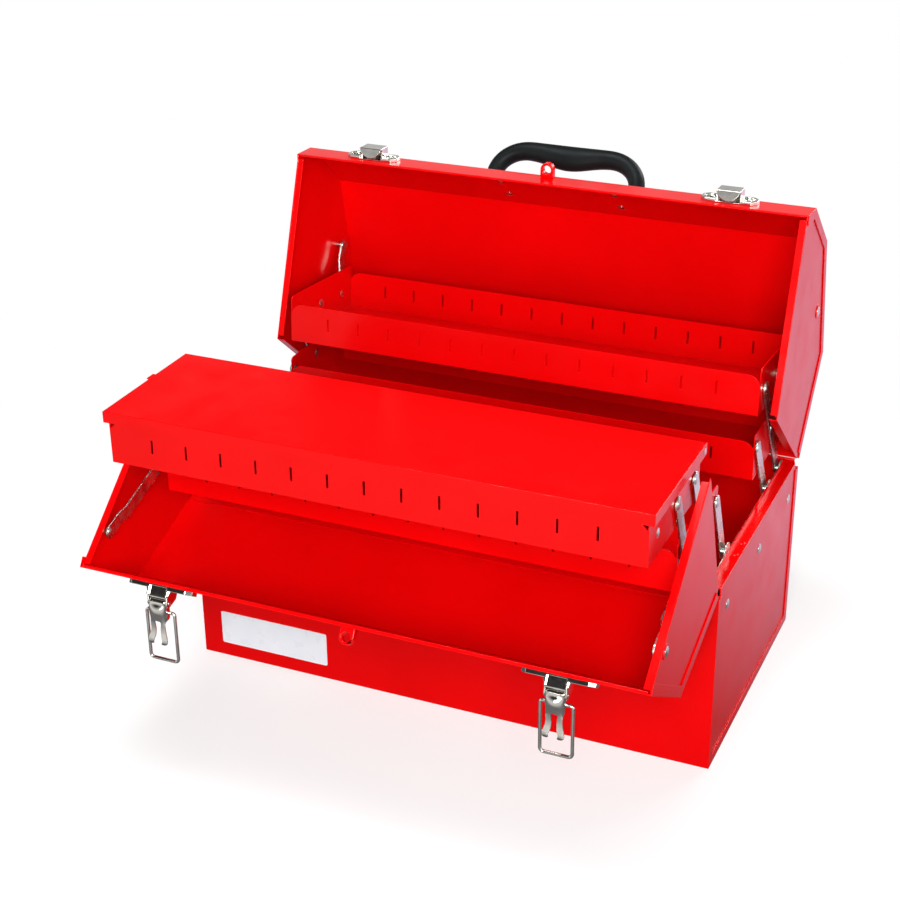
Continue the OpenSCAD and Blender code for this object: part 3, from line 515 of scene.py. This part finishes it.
def settle(obj, name, *stands_for):
    """Names a finished piece, dresses it, and ties it to the body and slot of what it replaces."""
    obj.name = name
    obj.data.name = name
    first = stands_for[0]
    obj.data.materials.clear()
    obj.data.materials.append(FINISH_OF_SLOT[slot_of[first]])
    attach(obj, body_of[first])
    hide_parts(*stands_for)
    print(f"{name}: {len(obj.data.polygons)} faces on {body_of[first]}")
    return obj


# %% [markdown]
# ## Folded sheet
# A press brake never leaves a knife edge: each fold of the 1 mm steel has a small radius, and
# each cut edge is eased by its coat of enamel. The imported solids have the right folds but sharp
# edges. One bevel over everything would be simpler, but it would round folds and cut edges
# alike. So a copy of each is merged into clean faces, its long folds are picked by their
# neighbours and bevelled, and a finer bevel then eases what is left.

# %% A clean copy of a solid
MERGE = 0.001 * MM                  # corners nearer to each other than this are one
FLAT = math.radians(1)              # and faces that turn by less than this are one


def clean_copy(node):
    """A copy of a solid's mesh, merged into clean faces and tied to nothing."""
    only(nodes[node])
    bpy.ops.object.duplicate()
    copy = bpy.context.object
    copy.parent = None
    for key in list(copy.keys()):
        del copy[key]
    edit(copy)
    bpy.ops.mesh.select_all(action="SELECT")
    bpy.ops.mesh.remove_doubles(threshold=MERGE)
    bpy.ops.mesh.dissolve_limited(angle_limit=FLAT)
    leave()
    return copy


# %% Tell folds from cut edges
PANEL_WIDTH = 2.5 * MM              # a face wider than this is a panel and not a cut edge
FOLD_ANGLE = math.radians(20)       # and a fold turns by more than this


def is_panel(face):
    """True for a face whose mean width is more than that of a cut edge."""
    return 2 * face.calc_area() / face.calc_perimeter() > PANEL_WIDTH


def is_fold(middle, edge):
    """True for an outer fold between two panels."""
    return (len(edge.link_faces) == 2 and edge.is_convex
            and all(is_panel(face) for face in edge.link_faces)
            and edge.calc_face_angle() > FOLD_ANGLE)


# %% Round the folds and ease the edges
FOLD_RADIUS = 0.45 * MM
EDGE_ANGLE = math.radians(38)


def soften(obj, width, segments=3, angle=EDGE_ANGLE):
    """Bevels every edge that turns by more than an angle."""
    apply_modifier(obj, "BEVEL", width=width, segments=segments, limit_method="ANGLE",
                   angle_limit=angle, use_clamp_overlap=False)


def eased(node, width, segments=3, fold=False):
    """A clean copy with its folds rounded and its other edges eased."""
    copy = clean_copy(node)
    if fold:
        edit(copy)
        if pick("EDGE", is_fold):
            bpy.ops.mesh.bevel(offset=FOLD_RADIUS, segments=4, clamp_overlap=False)
        leave()
    soften(copy, width, segments)
    smooth(copy)
    return copy


# %% Fold the case, the lid, the trays and the cover
SHEET_EDGE = 0.15 * MM
SHEETS = ["case_wrap", "case_end_left", "case_end_right", "front_lid_wrap", "front_lid_end_left",
          "front_lid_end_right", "rear_lid_wrap", "rear_lid_end_left", "rear_lid_end_right",
          "front_upper_tray", "front_lower_tray", "rear_upper_tray", "rear_lower_tray",
          "tray_cover"]
for name in SHEETS:
    settle(eased(name, SHEET_EDGE, 2, fold=True), name + "_sheet", name)

# %% [markdown]
# ## Arms, links, rails and hinge leaves
# The arms and links are stamped from thicker strip. A punch leaves a small rounded edge on one
# side and a burr that tumbling takes off the other, so every edge gets the same small bevel. The
# hinge leaves are rolled round their pin and painted with the box. Spinning each knuckle anew
# would give the same barrels as the solids have, so these are eased copies too.

# %% Ease the stamped and the rolled pieces
STRIP_EDGE = 0.3 * MM
LEAF_EDGE = 0.12 * MM
STAMPED = [name for name in nodes if "_arm_" in name or "_link_" in name or "arm_rail" in name]
LEAVES = [name for name in nodes if name.endswith("leaf") or "_leaf_" in name]
for name in STAMPED:
    settle(eased(name, STRIP_EDGE), name + "_strip", name)
for name in LEAVES:
    settle(eased(name, LEAF_EDGE, 2), name + "_rolled", name)

# %% [markdown]
# ## Rivets
# A rivet is a turned thing, so it is spun: one vertex is pushed along the half profile of a domed
# head, a shank and a second head, and the line is spun round the axis. A squashed sphere would
# be quicker, but it has no rim and no flat seat.

# %% Spin a profile
SEAM = 0.002 * MM                   # the spin's first and last lines are nearer than this


def spun(profile, steps=28):
    """Spins a half profile of (along X, radius) points round the X axis."""
    bpy.ops.object.select_all(action="DESELECT")
    bpy.ops.mesh.primitive_plane_add(size=MM, location=(0, 0, 0))
    obj = bpy.context.object
    edit(obj)
    bpy.ops.mesh.select_mode(type="VERT")
    bpy.ops.mesh.select_all(action="SELECT")
    bpy.ops.mesh.merge(type="CENTER")
    push(x=profile[0][0], z=profile[0][1])
    for (along, radius), (next_along, next_radius) in zip(profile, profile[1:]):
        bpy.ops.mesh.extrude_vertices_move(
            TRANSFORM_OT_translate={"value": (next_along - along, 0, next_radius - radius)})
    bpy.ops.mesh.select_all(action="SELECT")
    bpy.ops.mesh.spin(steps=steps, angle=2 * math.pi, center=(0, 0, 0), axis=(1, 0, 0))
    bpy.ops.mesh.select_all(action="SELECT")
    bpy.ops.mesh.remove_doubles(threshold=SEAM)
    bpy.ops.mesh.normals_make_consistent(inside=False)
    leave()
    return obj


# %% The profile of a domed head
def dome(radius, height, steps=5):
    """The half profile of a domed head, from its pole out to its rim, as (depth, radius)."""
    swell = (radius ** 2 + height ** 2) / (2 * height)
    reach = math.asin(radius / swell)
    points = []
    for step in range(steps + 1):
        angle = reach * step / steps
        points.append((swell - swell * math.cos(angle), swell * math.sin(angle)))
    return points


# %% [markdown]
# ## Where the rivets sit
# The solids tell where each rivet starts and ends, because the plain rivets of a body are
# separate shells in one node. A copy of the node is split into its shells, measured and removed.


# %% Find the shells of a node
def shells(node):
    """The lowest and highest corners of each separate shell in a node."""
    copy = clean_copy(node)
    edit(copy)
    bpy.ops.mesh.select_all(action="SELECT")
    bpy.ops.mesh.separate(type="LOOSE")
    leave()
    boxes = []
    for shell in list(bpy.context.selected_objects):
        corners = [vertex.co.copy() for vertex in shell.data.vertices]
        boxes.append((Vector(map(min, *corners)), Vector(map(max, *corners))))
        bpy.data.objects.remove(shell)
    return boxes


# %% [markdown]
# ## Copies
# A factory makes one rivet and uses it many times. Equal rivets are therefore modelled once and
# copied, each copy with a mesh of its own, so that it can be moved and joined freely.


# %% Copy a finished piece
def copied(obj, x=0, y=0, z=0):
    """A copy with a mesh of its own, moved along."""
    only(obj)
    bpy.ops.object.duplicate(linked=False)
    twin = bpy.context.object
    edit(twin)
    bpy.ops.mesh.select_all(action="SELECT")
    push(x, y, z)
    leave()
    return twin


def discard(pieces):
    """Removes models that were only there to be copied."""
    for obj in pieces:
        only(obj)
        bpy.ops.object.delete()


# %% One rivet for each length and head
HEAD_RADIUS = 4.2 * MM
HEAD_HEIGHT = 1.25 * MM
RIM_HEIGHT = 0.25 * MM
SHANK_RADIUS = 2.5 * MM
RIVET_SHARP = 40
RIVET_MODELS = {}


def rivet(start, end, y, z, head=HEAD_RADIUS):
    """A rivet from one dome to the other, along X; equal rivets are copies of one model."""
    length = end - start
    kind = (round(length / MM, 2), round(head / MM, 2))
    if kind not in RIVET_MODELS:
        half = dome(head, HEAD_HEIGHT - RIM_HEIGHT)
        half += [(HEAD_HEIGHT, head), (HEAD_HEIGHT, SHANK_RADIUS)]
        RIVET_MODELS[kind] = spun(half + [(length - along, radius)
                                          for along, radius in reversed(half)])
    return copied(RIVET_MODELS[kind], start, y, z)


# %% Set the rivets of the case and the trays
def rivet_set(node):
    """Every rivet of a node, all along X, in one piece."""
    made = []
    for low, high in shells(node):
        middle = (low + high) / 2
        radius = (high.z - low.z) / 2
        made.append(rivet(low.x, high.x, middle.y, middle.z, min(HEAD_RADIUS, radius)))
    piece = joined(made)
    smooth(piece, RIVET_SHARP)
    return settle(piece, node + "_domed", node)


for node in ("rail_rivets", "pivot_rivets", "front_upper_rivets", "front_lower_rivets",
             "rear_upper_rivets", "rear_lower_rivets"):
    rivet_set(node)
print(len(RIVET_MODELS), "kinds of rivet so far")

# %% [markdown]
# ## Shut first, then open
# A lid's fittings are square to its slope only while it is shut. They could be modelled where
# they are, at odd angles. It is easier to model each flat, with Y up the slope and Z out of it,
# to lay it on the slope, and to swing it open about the hinge by the angle that the model's own
# hinge joint gives.

# %% The two lids' slopes and swings
JOINTS = {joint["name"]: joint for joint in frame["joints"]}
SLOPE_ANGLE = 38.1                  # degrees
WALL_FOLD = (-123 * MM, 261 * MM)   # y, z of the fold between the front wall and the slope


def swing_of(joint):
    """The open angle about +X and the hinge point of a lid."""
    travel = max(JOINTS[joint]["range_deg"], key=abs)
    return -travel * JOINTS[joint]["axis"][0], Vector(JOINTS[joint]["pos_m"])


SWINGS = {"front": swing_of("front_lid_hinge"), "rear": swing_of("rear_lid_hinge")}


def swing_open(obj, lid):
    """Swings a piece that was modelled shut."""
    angle, hinge = SWINGS[lid]
    edit(obj)
    bpy.ops.mesh.select_all(action="SELECT")
    turn(angle, "X", hinge)
    leave()


def lay_on_slope(obj, lid):
    """Lays a piece modelled flat on the front slope, then swings it with its lid."""
    edit(obj)
    bpy.ops.mesh.select_all(action="SELECT")
    turn(SLOPE_ANGLE, "X", (0, 0, 0))
    push(y=WALL_FOLD[0], z=WALL_FOLD[1])
    leave()
    swing_open(obj, lid)


print({lid: round(angle, 1) for lid, (angle, _) in SWINGS.items()})

# %% [markdown]
# ## Rivets of the lids
# Each lid has two kinds. Those through its ends carry the links and lie along X like the others.
# The small ones hold the latch plates and the handle, and their domes stand out of the slope or
# hang inside the top, so each is one spun dome that is turned to face its way.

# %% Small studs
STUD_HEIGHT = 1.0 * MM
STUD_DOME = 0.8                     # the share of it that is domed


def stud(place, angle, radius):
    """A small dome at a place, facing an angle from +Y towards +Z."""
    cap = [(STUD_HEIGHT - along, reach)
           for along, reach in dome(radius, STUD_HEIGHT * STUD_DOME)]
    obj = spun([*cap, (0, radius), (0, 0)])
    edit(obj)
    bpy.ops.mesh.select_all(action="SELECT")
    turn(90, "Z", (0, 0, 0))
    turn(angle, "X", (0, 0, 0))
    push(*place)
    leave()
    return obj


# %% Set the rivets of the two lids
STUDS_REACH = 0.2                   # shells further from the middle than this lie along X
HANDLE_REACH = 0.1                  # and those nearer than this hold the handle
LATCH_STUD = 2.8 * MM
HANDLE_STUD = 3.4 * MM
HANDLE_STUD_SINK = 2.0 * MM         # from the shell's middle to the inside of the top


def lid_rivets(lid):
    """The link rivets of one lid and the studs of its fittings, as one piece."""
    node = lid + "_lid_rivets"
    open_angle = SWINGS[lid][0]
    outward = SLOPE_ANGLE + 90 + open_angle
    inward = open_angle - 90
    sink = Vector((0, math.cos(math.radians(inward)), math.sin(math.radians(inward))))
    made = []
    for low, high in shells(node):
        middle = (low + high) / 2
        if abs(middle.x) > STUDS_REACH:
            made.append(rivet(low.x, high.x, middle.y, middle.z))
        elif abs(middle.x) > HANDLE_REACH:
            made.append(stud(middle, outward, LATCH_STUD))
        else:
            made.append(stud(middle + sink * HANDLE_STUD_SINK, inward, HANDLE_STUD))
    piece = joined(made)
    smooth(piece, RIVET_SHARP)
    return settle(piece, node + "_domed", node)


lid_rivets("front")
lid_rivets("rear")
discard(RIVET_MODELS.values())
print(len(RIVET_MODELS), "kinds of rivet in all")

# %% [markdown]
# ## The handle
# The handle is one moulding: two slim legs sweep into a grip that swells to a belly in the
# middle. A bevelled curve would give one thickness all along. It is lofted instead: a ring is
# added at one foot, then extruded, turned and stretched from station to station, and a
# subdivision smooths the skin between the rings.


# %% Loft rings along a path
def lofted(stations, centre_y, sides=20):
    """Lofts rings; a station is (x, z, lean in degrees, half width, half depth)."""
    bpy.ops.object.select_all(action="DESELECT")
    bpy.ops.mesh.primitive_circle_add(vertices=sides, radius=1, fill_type="NGON",
                                      location=(0, 0, 0))
    obj = bpy.context.object
    edit(obj)
    bpy.ops.mesh.select_all(action="SELECT")
    x, z, lean, width, depth = stations[0]
    stretch((width, depth, 1), (0, 0, 0))
    turn(lean, "Y", (0, 0, 0))
    push(x, centre_y, z)
    for next_x, next_z, next_lean, next_width, next_depth in stations[1:]:
        centre = (x, centre_y, z)
        bpy.ops.mesh.extrude_region_move()
        turn(-lean, "Y", centre)
        stretch((next_width / width, next_depth / depth, 1), centre)
        turn(next_lean, "Y", centre)
        push(next_x - x, 0, next_z - z)
        x, z, lean, width, depth = next_x, next_z, next_lean, next_width, next_depth
    bpy.ops.mesh.select_all(action="SELECT")
    bpy.ops.mesh.normals_make_consistent(inside=False)
    leave()
    return obj


# %% The handle's sizes
TOP = 330 * MM                      # the top of the shut lid
HANDLE_Y = 2.8 * MM
HANDLE_HALF = 72.5 * MM
HANDLE_RISE = 44 * MM
SOLE_Z, ANKLE_Z, ELBOW_Z = 1 * MM, 7 * MM, 11 * MM
ELBOW_X = 37 * MM
# half width and half depth of the section, from the foot to the middle of the grip
LEG_HALF, BAR_HALF, BELLY_HALF = 7.1 * MM, 8.3 * MM, 11.4 * MM
SOLE_DEPTH, ANKLE_DEPTH, LEG_DEPTH = 7.6 * MM, 7.8 * MM, 7.9 * MM
BAR_DEPTH, BELLY_DEPTH = 8.8 * MM, 9.0 * MM
ELBOW_STEPS = 8
BELLY_STEPS = 5


# %% The handle's stations
def handle_stations():
    """The stations of one half, from the foot up to the middle."""
    leg_x = HANDLE_HALF - LEG_HALF
    rise = HANDLE_RISE - BAR_HALF - ELBOW_Z
    rows = [(leg_x, SOLE_Z, 0, LEG_HALF, SOLE_DEPTH), (leg_x, ANKLE_Z, 0, LEG_HALF, ANKLE_DEPTH)]
    for step in range(ELBOW_STEPS + 1):
        share = step / ELBOW_STEPS
        angle = math.radians(90 * share)
        rows.append((ELBOW_X + (leg_x - ELBOW_X) * math.cos(angle),
                     ELBOW_Z + rise * math.sin(angle), -90 * share,
                     LEG_HALF + (BAR_HALF - LEG_HALF) * share,
                     LEG_DEPTH + (BAR_DEPTH - LEG_DEPTH) * share))
    for step in range(1, BELLY_STEPS + 1):
        share = step / BELLY_STEPS
        swell = (1 - math.cos(math.pi * share)) / 2
        half = BAR_HALF + (BELLY_HALF - BAR_HALF) * swell
        rows.append((ELBOW_X * (1 - share), HANDLE_RISE - half, -90, half,
                     BAR_DEPTH + (BELLY_DEPTH - BAR_DEPTH) * swell))
    return rows


# %% Loft the grip
near_half = handle_stations()
far_half = [(-x, z, -180 - lean, width, depth) for x, z, lean, width, depth in near_half[-2::-1]]
stations = [(x, TOP + z, lean, width, depth) for x, z, lean, width, depth in near_half + far_half]
grip = lofted(stations, HANDLE_Y)
apply_modifier(grip, "SUBSURF", levels=1, render_levels=1)
print(len(stations), "stations")

# %% [markdown]
# ## The handle's feet
# Each leg ends in a moulded plate with round corners and a raised pad inside its rim. Extruding
# it out of the leg would pull the loft's rings out of shape, so it starts as a cube of its own:
# its upright edges are bevelled, its top is inset and pushed up, and a small bevel takes the
# sharpness off. The second foot is a copy of the first.


# %% Two tests for cubes
def span(edge, axis):
    """How far an edge reaches along an axis: 0 for X, 1 for Y, 2 for Z."""
    return abs(edge.verts[0].co[axis] - edge.verts[1].co[axis])


def is_top(middle, face):
    """True for a face that looks up."""
    return face.normal.z > 0.9


# %% Shape a foot
FOOT_DEPTH = 38 * MM
FOOT_INNER = 40 * MM
FOOT_HEIGHT = 4 * MM
FOOT_CORNER = 6 * MM
FOOT_RIM = 1.6 * MM
PAD_RISE = 0.8 * MM
FOOT_EDGE = 0.7 * MM
SOFT_ANGLE = math.radians(25)


def foot():
    """The plate under the right leg."""
    centre = Vector(((HANDLE_HALF + FOOT_INNER) / 2, HANDLE_Y, TOP + FOOT_HEIGHT / 2))
    bpy.ops.object.select_all(action="DESELECT")
    bpy.ops.mesh.primitive_cube_add(size=1, location=centre)
    obj = bpy.context.object
    bpy.ops.object.transform_apply(location=True, rotation=True, scale=True)
    edit(obj)
    bpy.ops.mesh.select_all(action="SELECT")
    stretch((HANDLE_HALF - FOOT_INNER, FOOT_DEPTH, FOOT_HEIGHT), centre)
    pick("EDGE", lambda middle, edge: span(edge, 2) > FOOT_HEIGHT / 2)
    bpy.ops.mesh.bevel(offset=FOOT_CORNER, segments=5)
    pick("FACE", is_top)
    bpy.ops.mesh.inset(thickness=FOOT_RIM)
    push(z=PAD_RISE)
    leave()
    soften(obj, FOOT_EDGE, angle=SOFT_ANGLE)
    return obj


# %% Join the feet to the grip
HANDLE_SHARP = 50
right_foot = foot()
left_foot = copied(right_foot, x=-(HANDLE_HALF + FOOT_INNER))
handle = joined([grip, right_foot, left_foot])
smooth(handle, HANDLE_SHARP)
swing_open(handle, "rear")
settle(handle, "carrying_handle", "handle")

# %% [markdown]
# ## The latches' bases and catches
# A draw latch has four parts on the front half of the lid: a stamped base with two dished wings,
# a lever on a pin between the base's ears, and a wire bail that hangs from the lever; the catch
# sits on the rear half. Base and catch are eased copies of their solids. The base's front is
# closed by a web, a cube that is stretched flat, narrowed towards the pin and extruded into a
# small lip.

# %% Model the web of a base
FREE_EDGE = 86.8 * MM               # from the fold up the slope to the split
PIN_UP_SLOPE = FREE_EDGE - 10 * MM  # and from the fold to the lever's pin
LATCH_X = 160 * MM
WEB_MIDDLE = Vector((LATCH_X, PIN_UP_SLOPE + 4.8 * MM, 4.9 * MM))
WEB_SIZE = (23 * MM, 1.0 * MM, 7.6 * MM)
WEB_TAPER = 0.72
WEB_LIP = (0, -0.5 * MM, 1.2 * MM)
WEB_EDGE = 0.3 * MM


def web():
    """The wall that joins the right base's two ears above the roll."""
    bpy.ops.object.select_all(action="DESELECT")
    bpy.ops.mesh.primitive_cube_add(size=1, location=WEB_MIDDLE)
    obj = bpy.context.object
    bpy.ops.object.transform_apply(location=True)
    edit(obj)
    bpy.ops.mesh.select_all(action="SELECT")
    stretch(WEB_SIZE, WEB_MIDDLE)
    pick("FACE", is_top)
    stretch((WEB_TAPER, 1, 1), WEB_MIDDLE)
    bpy.ops.mesh.extrude_region_move(TRANSFORM_OT_translate={"value": WEB_LIP})
    bpy.ops.mesh.select_all(action="SELECT")
    bpy.ops.mesh.normals_make_consistent(inside=False)
    leave()
    soften(obj, WEB_EDGE, angle=SOFT_ANGLE)
    lay_on_slope(obj, "front")
    return obj


# %% Join bases and webs, and ease the catches
BASE_EDGE = 0.35 * MM
CATCH_EDGE = 0.4 * MM
right_web = web()
left_web = copied(right_web, x=-2 * LATCH_X)
for side, closing in (("left", left_web), ("right", right_web)):
    base = joined([eased("latch_base_" + side, BASE_EDGE), closing])
    smooth(base)
    settle(base, "latch_base_" + side + "_plate", "latch_base_" + side)
    settle(eased("catch_" + side, CATCH_EDGE), "catch_" + side + "_plate", "catch_" + side)

# %% [markdown]
# ## A lever
# The lever is pressed from one strip: a domed face, two flanges that are turned back to carry
# the bail, and a fork whose tails flare out for the thumb. A boolean could cut the fork, but it
# would leave bad faces round the dome. A grid of quads is extruded row by row instead. The dome
# is pushed out of it, the fork's faces are taken away, the flanges are extruded from its sides,
# and creases hold the outline while a subdivision rounds the rest.

# %% Hang a strip of quads from the pin
LEVER_FACE = -4 * MM                # the face lies this far in front of the pin
LEVER_HEM = 2 * MM                  # and its first quads reach this far above it
NEAR = 0.2 * MM                     # corners of one row lie nearer to each other than this
# rows down the lever, in mm: height, half width, bow of the middle, push of the row
LEVER_ROWS = [(0, 7.0, 0.2, 0.6), (-2.5, 7.0, 1.6, 0), (-7, 6.9, 2.3, 0), (-10.5, 6.6, 0.8, 0.2),
              (-14.5, 6.3, 0.3, 0.5), (-20, 6.1, 0, 0.6), (-25, 6.6, 0, 0.2),
              (-28.5, 8.0, 0, -0.8), (-31.5, 8.5, 0, -1.6), (-33.4, 7.8, 0, -2.8)]
LEVER_HALF = LEVER_ROWS[0][1] * MM


def lever_strip(pin):
    """The strip, extruded row by row; it is left open in edit mode."""
    bpy.ops.object.select_all(action="DESELECT")
    bpy.ops.mesh.primitive_grid_add(x_subdivisions=4, y_subdivisions=1, size=1, location=pin)
    obj = bpy.context.object
    bpy.ops.object.transform_apply(location=True)
    edit(obj)
    bpy.ops.mesh.select_all(action="SELECT")
    turn(90, "X", pin)
    stretch((2 * LEVER_HALF, 1, LEVER_HEM), pin)
    push(y=LEVER_FACE, z=LEVER_HEM / 2)
    pick("EDGE", lambda middle, edge: middle.z < pin.z + NEAR)
    for above, below in zip(LEVER_ROWS, LEVER_ROWS[1:]):
        bpy.ops.mesh.extrude_region_move(TRANSFORM_OT_translate={
            "value": (0, (below[3] - above[3]) * MM, (below[0] - above[0]) * MM)})
        stretch((below[1] / above[1], 1, 1), pin)
    return obj


# %% Press the dome
# each press takes the columns within a share of half the width, and a share of the row's bow
PRESSES = ((0.6, 0.8), (0.1, 0.4))


def press_dome(pin):
    """Pushes the inner three columns of each row forwards, and then the middle one further."""
    for height, half, bow, _ in LEVER_ROWS:
        for reach, share in PRESSES:
            pick("VERT", lambda middle, vert: abs(middle.z - pin.z - height * MM) < NEAR
                 and abs(middle.x - pin.x) < reach * half * MM)
            push(y=-bow * MM * share)


# %% Cut the fork
FORK = -14.5 * MM                   # the row where the slot between the tails starts
FORK_FACES, FORK_CORNERS = 0.5, 0.6     # shares of half the width that reach the slot's own
FORK_WIDTH = 0.62                   # how far the slot is drawn in


def cut_fork(pin):
    """Takes the middle faces out below the fork's row and draws the slot narrower."""
    pick("FACE", lambda middle, face: abs(middle.x - pin.x) < FORK_FACES * LEVER_HALF
         and middle.z - pin.z < FORK)
    bpy.ops.mesh.delete(type="FACE")
    pick("VERT", lambda middle, vert: abs(middle.x - pin.x) < FORK_CORNERS * LEVER_HALF
         and middle.z - pin.z < FORK - NEAR)
    stretch((FORK_WIDTH, 1, 1), pin)


# %% Turn the flanges back and thicken the plate
FLANGE_TOP, FLANGE_FOOT = 1 * MM, -16 * MM
FLANGE_STEPS = (3.4 * MM, 3.2 * MM)
SIDE_PLAY = 0.9 * MM                # how far the sides stray from half the width up there
EDGE_CREASE = 0.75
LEVER_STEEL = 1.1 * MM


def turn_flanges(pin):
    """Extrudes the upper part of both sides backwards."""
    pick("EDGE", lambda middle, edge: abs(abs(middle.x - pin.x) - LEVER_HALF) < SIDE_PLAY
         and FLANGE_FOOT < middle.z - pin.z < FLANGE_TOP and span(edge, 2) > 1 * MM)
    for depth in FLANGE_STEPS:
        bpy.ops.mesh.extrude_region_move(TRANSFORM_OT_translate={"value": (0, depth, 0)})
    pick("EDGE", lambda middle, edge: edge.is_boundary)
    bpy.ops.transform.edge_crease(value=EDGE_CREASE)
    bpy.ops.mesh.select_all(action="SELECT")
    bpy.ops.mesh.normals_make_consistent(inside=False)


def lever_plate(pin):
    """The whole plate of a lever that hangs from its pin."""
    obj = lever_strip(pin)
    press_dome(pin)
    cut_fork(pin)
    turn_flanges(pin)
    leave()
    apply_modifier(obj, "SOLIDIFY", thickness=LEVER_STEEL, offset=0, use_even_offset=True)
    apply_modifier(obj, "SUBSURF", levels=2, render_levels=2)
    return obj


# %% [markdown]
# ## Pins and barrels
# The lever turns on a pin, and its top is rolled round it. Both are short bars with rounded
# ends. A cylinder with a bevel would do too; a spun profile is as short, and serves for the two.

# %% Spin a pin
END_ROUND = 0.3                     # the rounding of an end, as a share of the radius
ARC_MIDDLE = 0.3                    # how far the middle of that arc stays from its corner


def knuckle(pin, half, radius):
    """A pin or barrel along X with rounded ends."""
    ease = radius * END_ROUND
    cut = ease * ARC_MIDDLE
    end = [(half, 0), (half, radius - ease), (half - cut, radius - cut), (half - ease, radius)]
    obj = spun([(-along, reach) for along, reach in end] + end[::-1])
    edit(obj)
    bpy.ops.mesh.select_all(action="SELECT")
    push(*pin)
    leave()
    return obj


# %% [markdown]
# ## The wire bails
# A bail is one length of spring wire bent to a loop. A curve with a round bevel would do, but
# its corners pinch at such small radii. Here the wire is drawn as it is bent: a ring runs
# straight by an extrusion and goes round each bend by a quarter spin.

# %% Draw a wire
BAIL_WIRE = 1.3 * MM


def wire(start, runs, sides=14):
    """A wire from a ring facing +X: each move runs straight by a vector or bends round a point."""
    bpy.ops.object.select_all(action="DESELECT")
    bpy.ops.mesh.primitive_circle_add(vertices=sides, radius=BAIL_WIRE, fill_type="NGON",
                                      location=(0, 0, 0))
    obj = bpy.context.object
    edit(obj)
    bpy.ops.mesh.select_all(action="SELECT")
    turn(90, "Y", (0, 0, 0))
    push(*start)
    for kind, value in runs:
        if kind == "run":
            bpy.ops.mesh.extrude_region_move(TRANSFORM_OT_translate={"value": value})
        else:
            bpy.ops.mesh.spin(steps=6, angle=math.radians(90), center=value, axis=(0, -1, 0))
    bpy.ops.mesh.select_all(action="SELECT")
    bpy.ops.mesh.remove_doubles(threshold=MERGE)
    bpy.ops.mesh.normals_make_consistent(inside=False)
    leave()
    return obj


# %% The moves of a bail
BAIL_HALF = 12.2 * MM
BAIL_REACH = 43 * MM
BAIL_BEND = 3 * MM
BAIL_TOP_BEND = 2 * MM
BAIL_INNER = LEVER_HALF - 2.2 * MM  # its ends lie this far from the lever's middle


def bail(pivot):
    """The bail that hangs from its pivot: across, down, across and up again."""
    x, y, z = pivot
    top = BAIL_HALF - BAIL_TOP_BEND
    low = z - BAIL_REACH
    moves = [
        ("run", (top - BAIL_INNER, 0, 0)),
        ("bend", (x + top, y, z - BAIL_TOP_BEND)),
        ("run", (0, 0, -(BAIL_REACH - BAIL_BEND - BAIL_TOP_BEND))),
        ("bend", (x + BAIL_HALF - BAIL_BEND, y, low + BAIL_BEND)),
        ("run", (-2 * (BAIL_HALF - BAIL_BEND), 0, 0)),
        ("bend", (x - BAIL_HALF + BAIL_BEND, y, low + BAIL_BEND)),
        ("run", (0, 0, BAIL_REACH - BAIL_BEND - BAIL_TOP_BEND)),
        ("bend", (x - top, y, z - BAIL_TOP_BEND)),
        ("run", (top - BAIL_INNER, 0, 0))]
    return wire((x + BAIL_INNER, y, z), moves)


# %% [markdown]
# ## Lever and bail on each side
# Both latches are alike, so the right lever and bail are modelled, and the left ones are copies
# that are moved across the lid. A mirror would serve as well, but a copy keeps the faces' sense.

# %% Hang the levers and the bails
BARREL_RADIUS = 3.9 * MM
PIN_HALF, PIN_RADIUS = 9 * MM, 1.5 * MM
LEVER_SHARP, WIRE_SHARP = 50, 60
pin = Vector(JOINTS["latch_lever_pivot_right"]["pos_m"])
lever = joined([lever_plate(pin), knuckle(pin, LEVER_HALF, BARREL_RADIUS),
                knuckle(pin, PIN_HALF, PIN_RADIUS)])
smooth(lever, LEVER_SHARP)
ring = bail(Vector(JOINTS["latch_bail_pivot_right"]["pos_m"]))
smooth(ring, WIRE_SHARP)
left_lever, left_ring = copied(lever, x=-2 * LATCH_X), copied(ring, x=-2 * LATCH_X)
for side, plate, loop in (("left", left_lever, left_ring), ("right", lever, ring)):
    settle(plate, "latch_lever_" + side + "_plate", "latch_lever_" + side)
    settle(loop, "latch_bail_" + side + "_wire", "latch_bail_" + side)

# %% [markdown]
# ## Padlock eyes
# The eyes are loops of thick strip, welded to the slopes and painted with them. They could be
# bent from a curve, but the solids have the right outline already. Paint fills their corners, so
# the eased copies get the widest bevel of all.

# %% Ease the eyes
EYE_EDGE = 0.9 * MM
for side in ("front", "rear"):
    settle(eased(side + "_hasp_eye", EYE_EDGE, 4), side + "_padlock_eye", side + "_hasp_eye")

# %% [markdown]
# ## The label
# The label is a thin film with round corners, left blank. A plane would have no edge that
# catches the light, so it is a cube stretched to the solid's box, with its four short edges
# bevelled.

# %% Lay the label
LABEL_CORNER = 1.6 * MM
label_low, label_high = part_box("label")
bpy.ops.object.select_all(action="DESELECT")
bpy.ops.mesh.primitive_cube_add(size=1, location=(label_low + label_high) / 2)
label = bpy.context.object
edit(label)
bpy.ops.mesh.select_all(action="SELECT")
stretch(tuple(label_high - label_low), label.location)
pick("EDGE", lambda middle, edge: span(edge, 1) > 0.1 * MM)
bpy.ops.mesh.bevel(offset=LABEL_CORNER, segments=6)
leave()
only(label)
bpy.ops.object.transform_apply(location=True, rotation=True, scale=True)
smooth(label)
settle(label, "plain_label", "label")
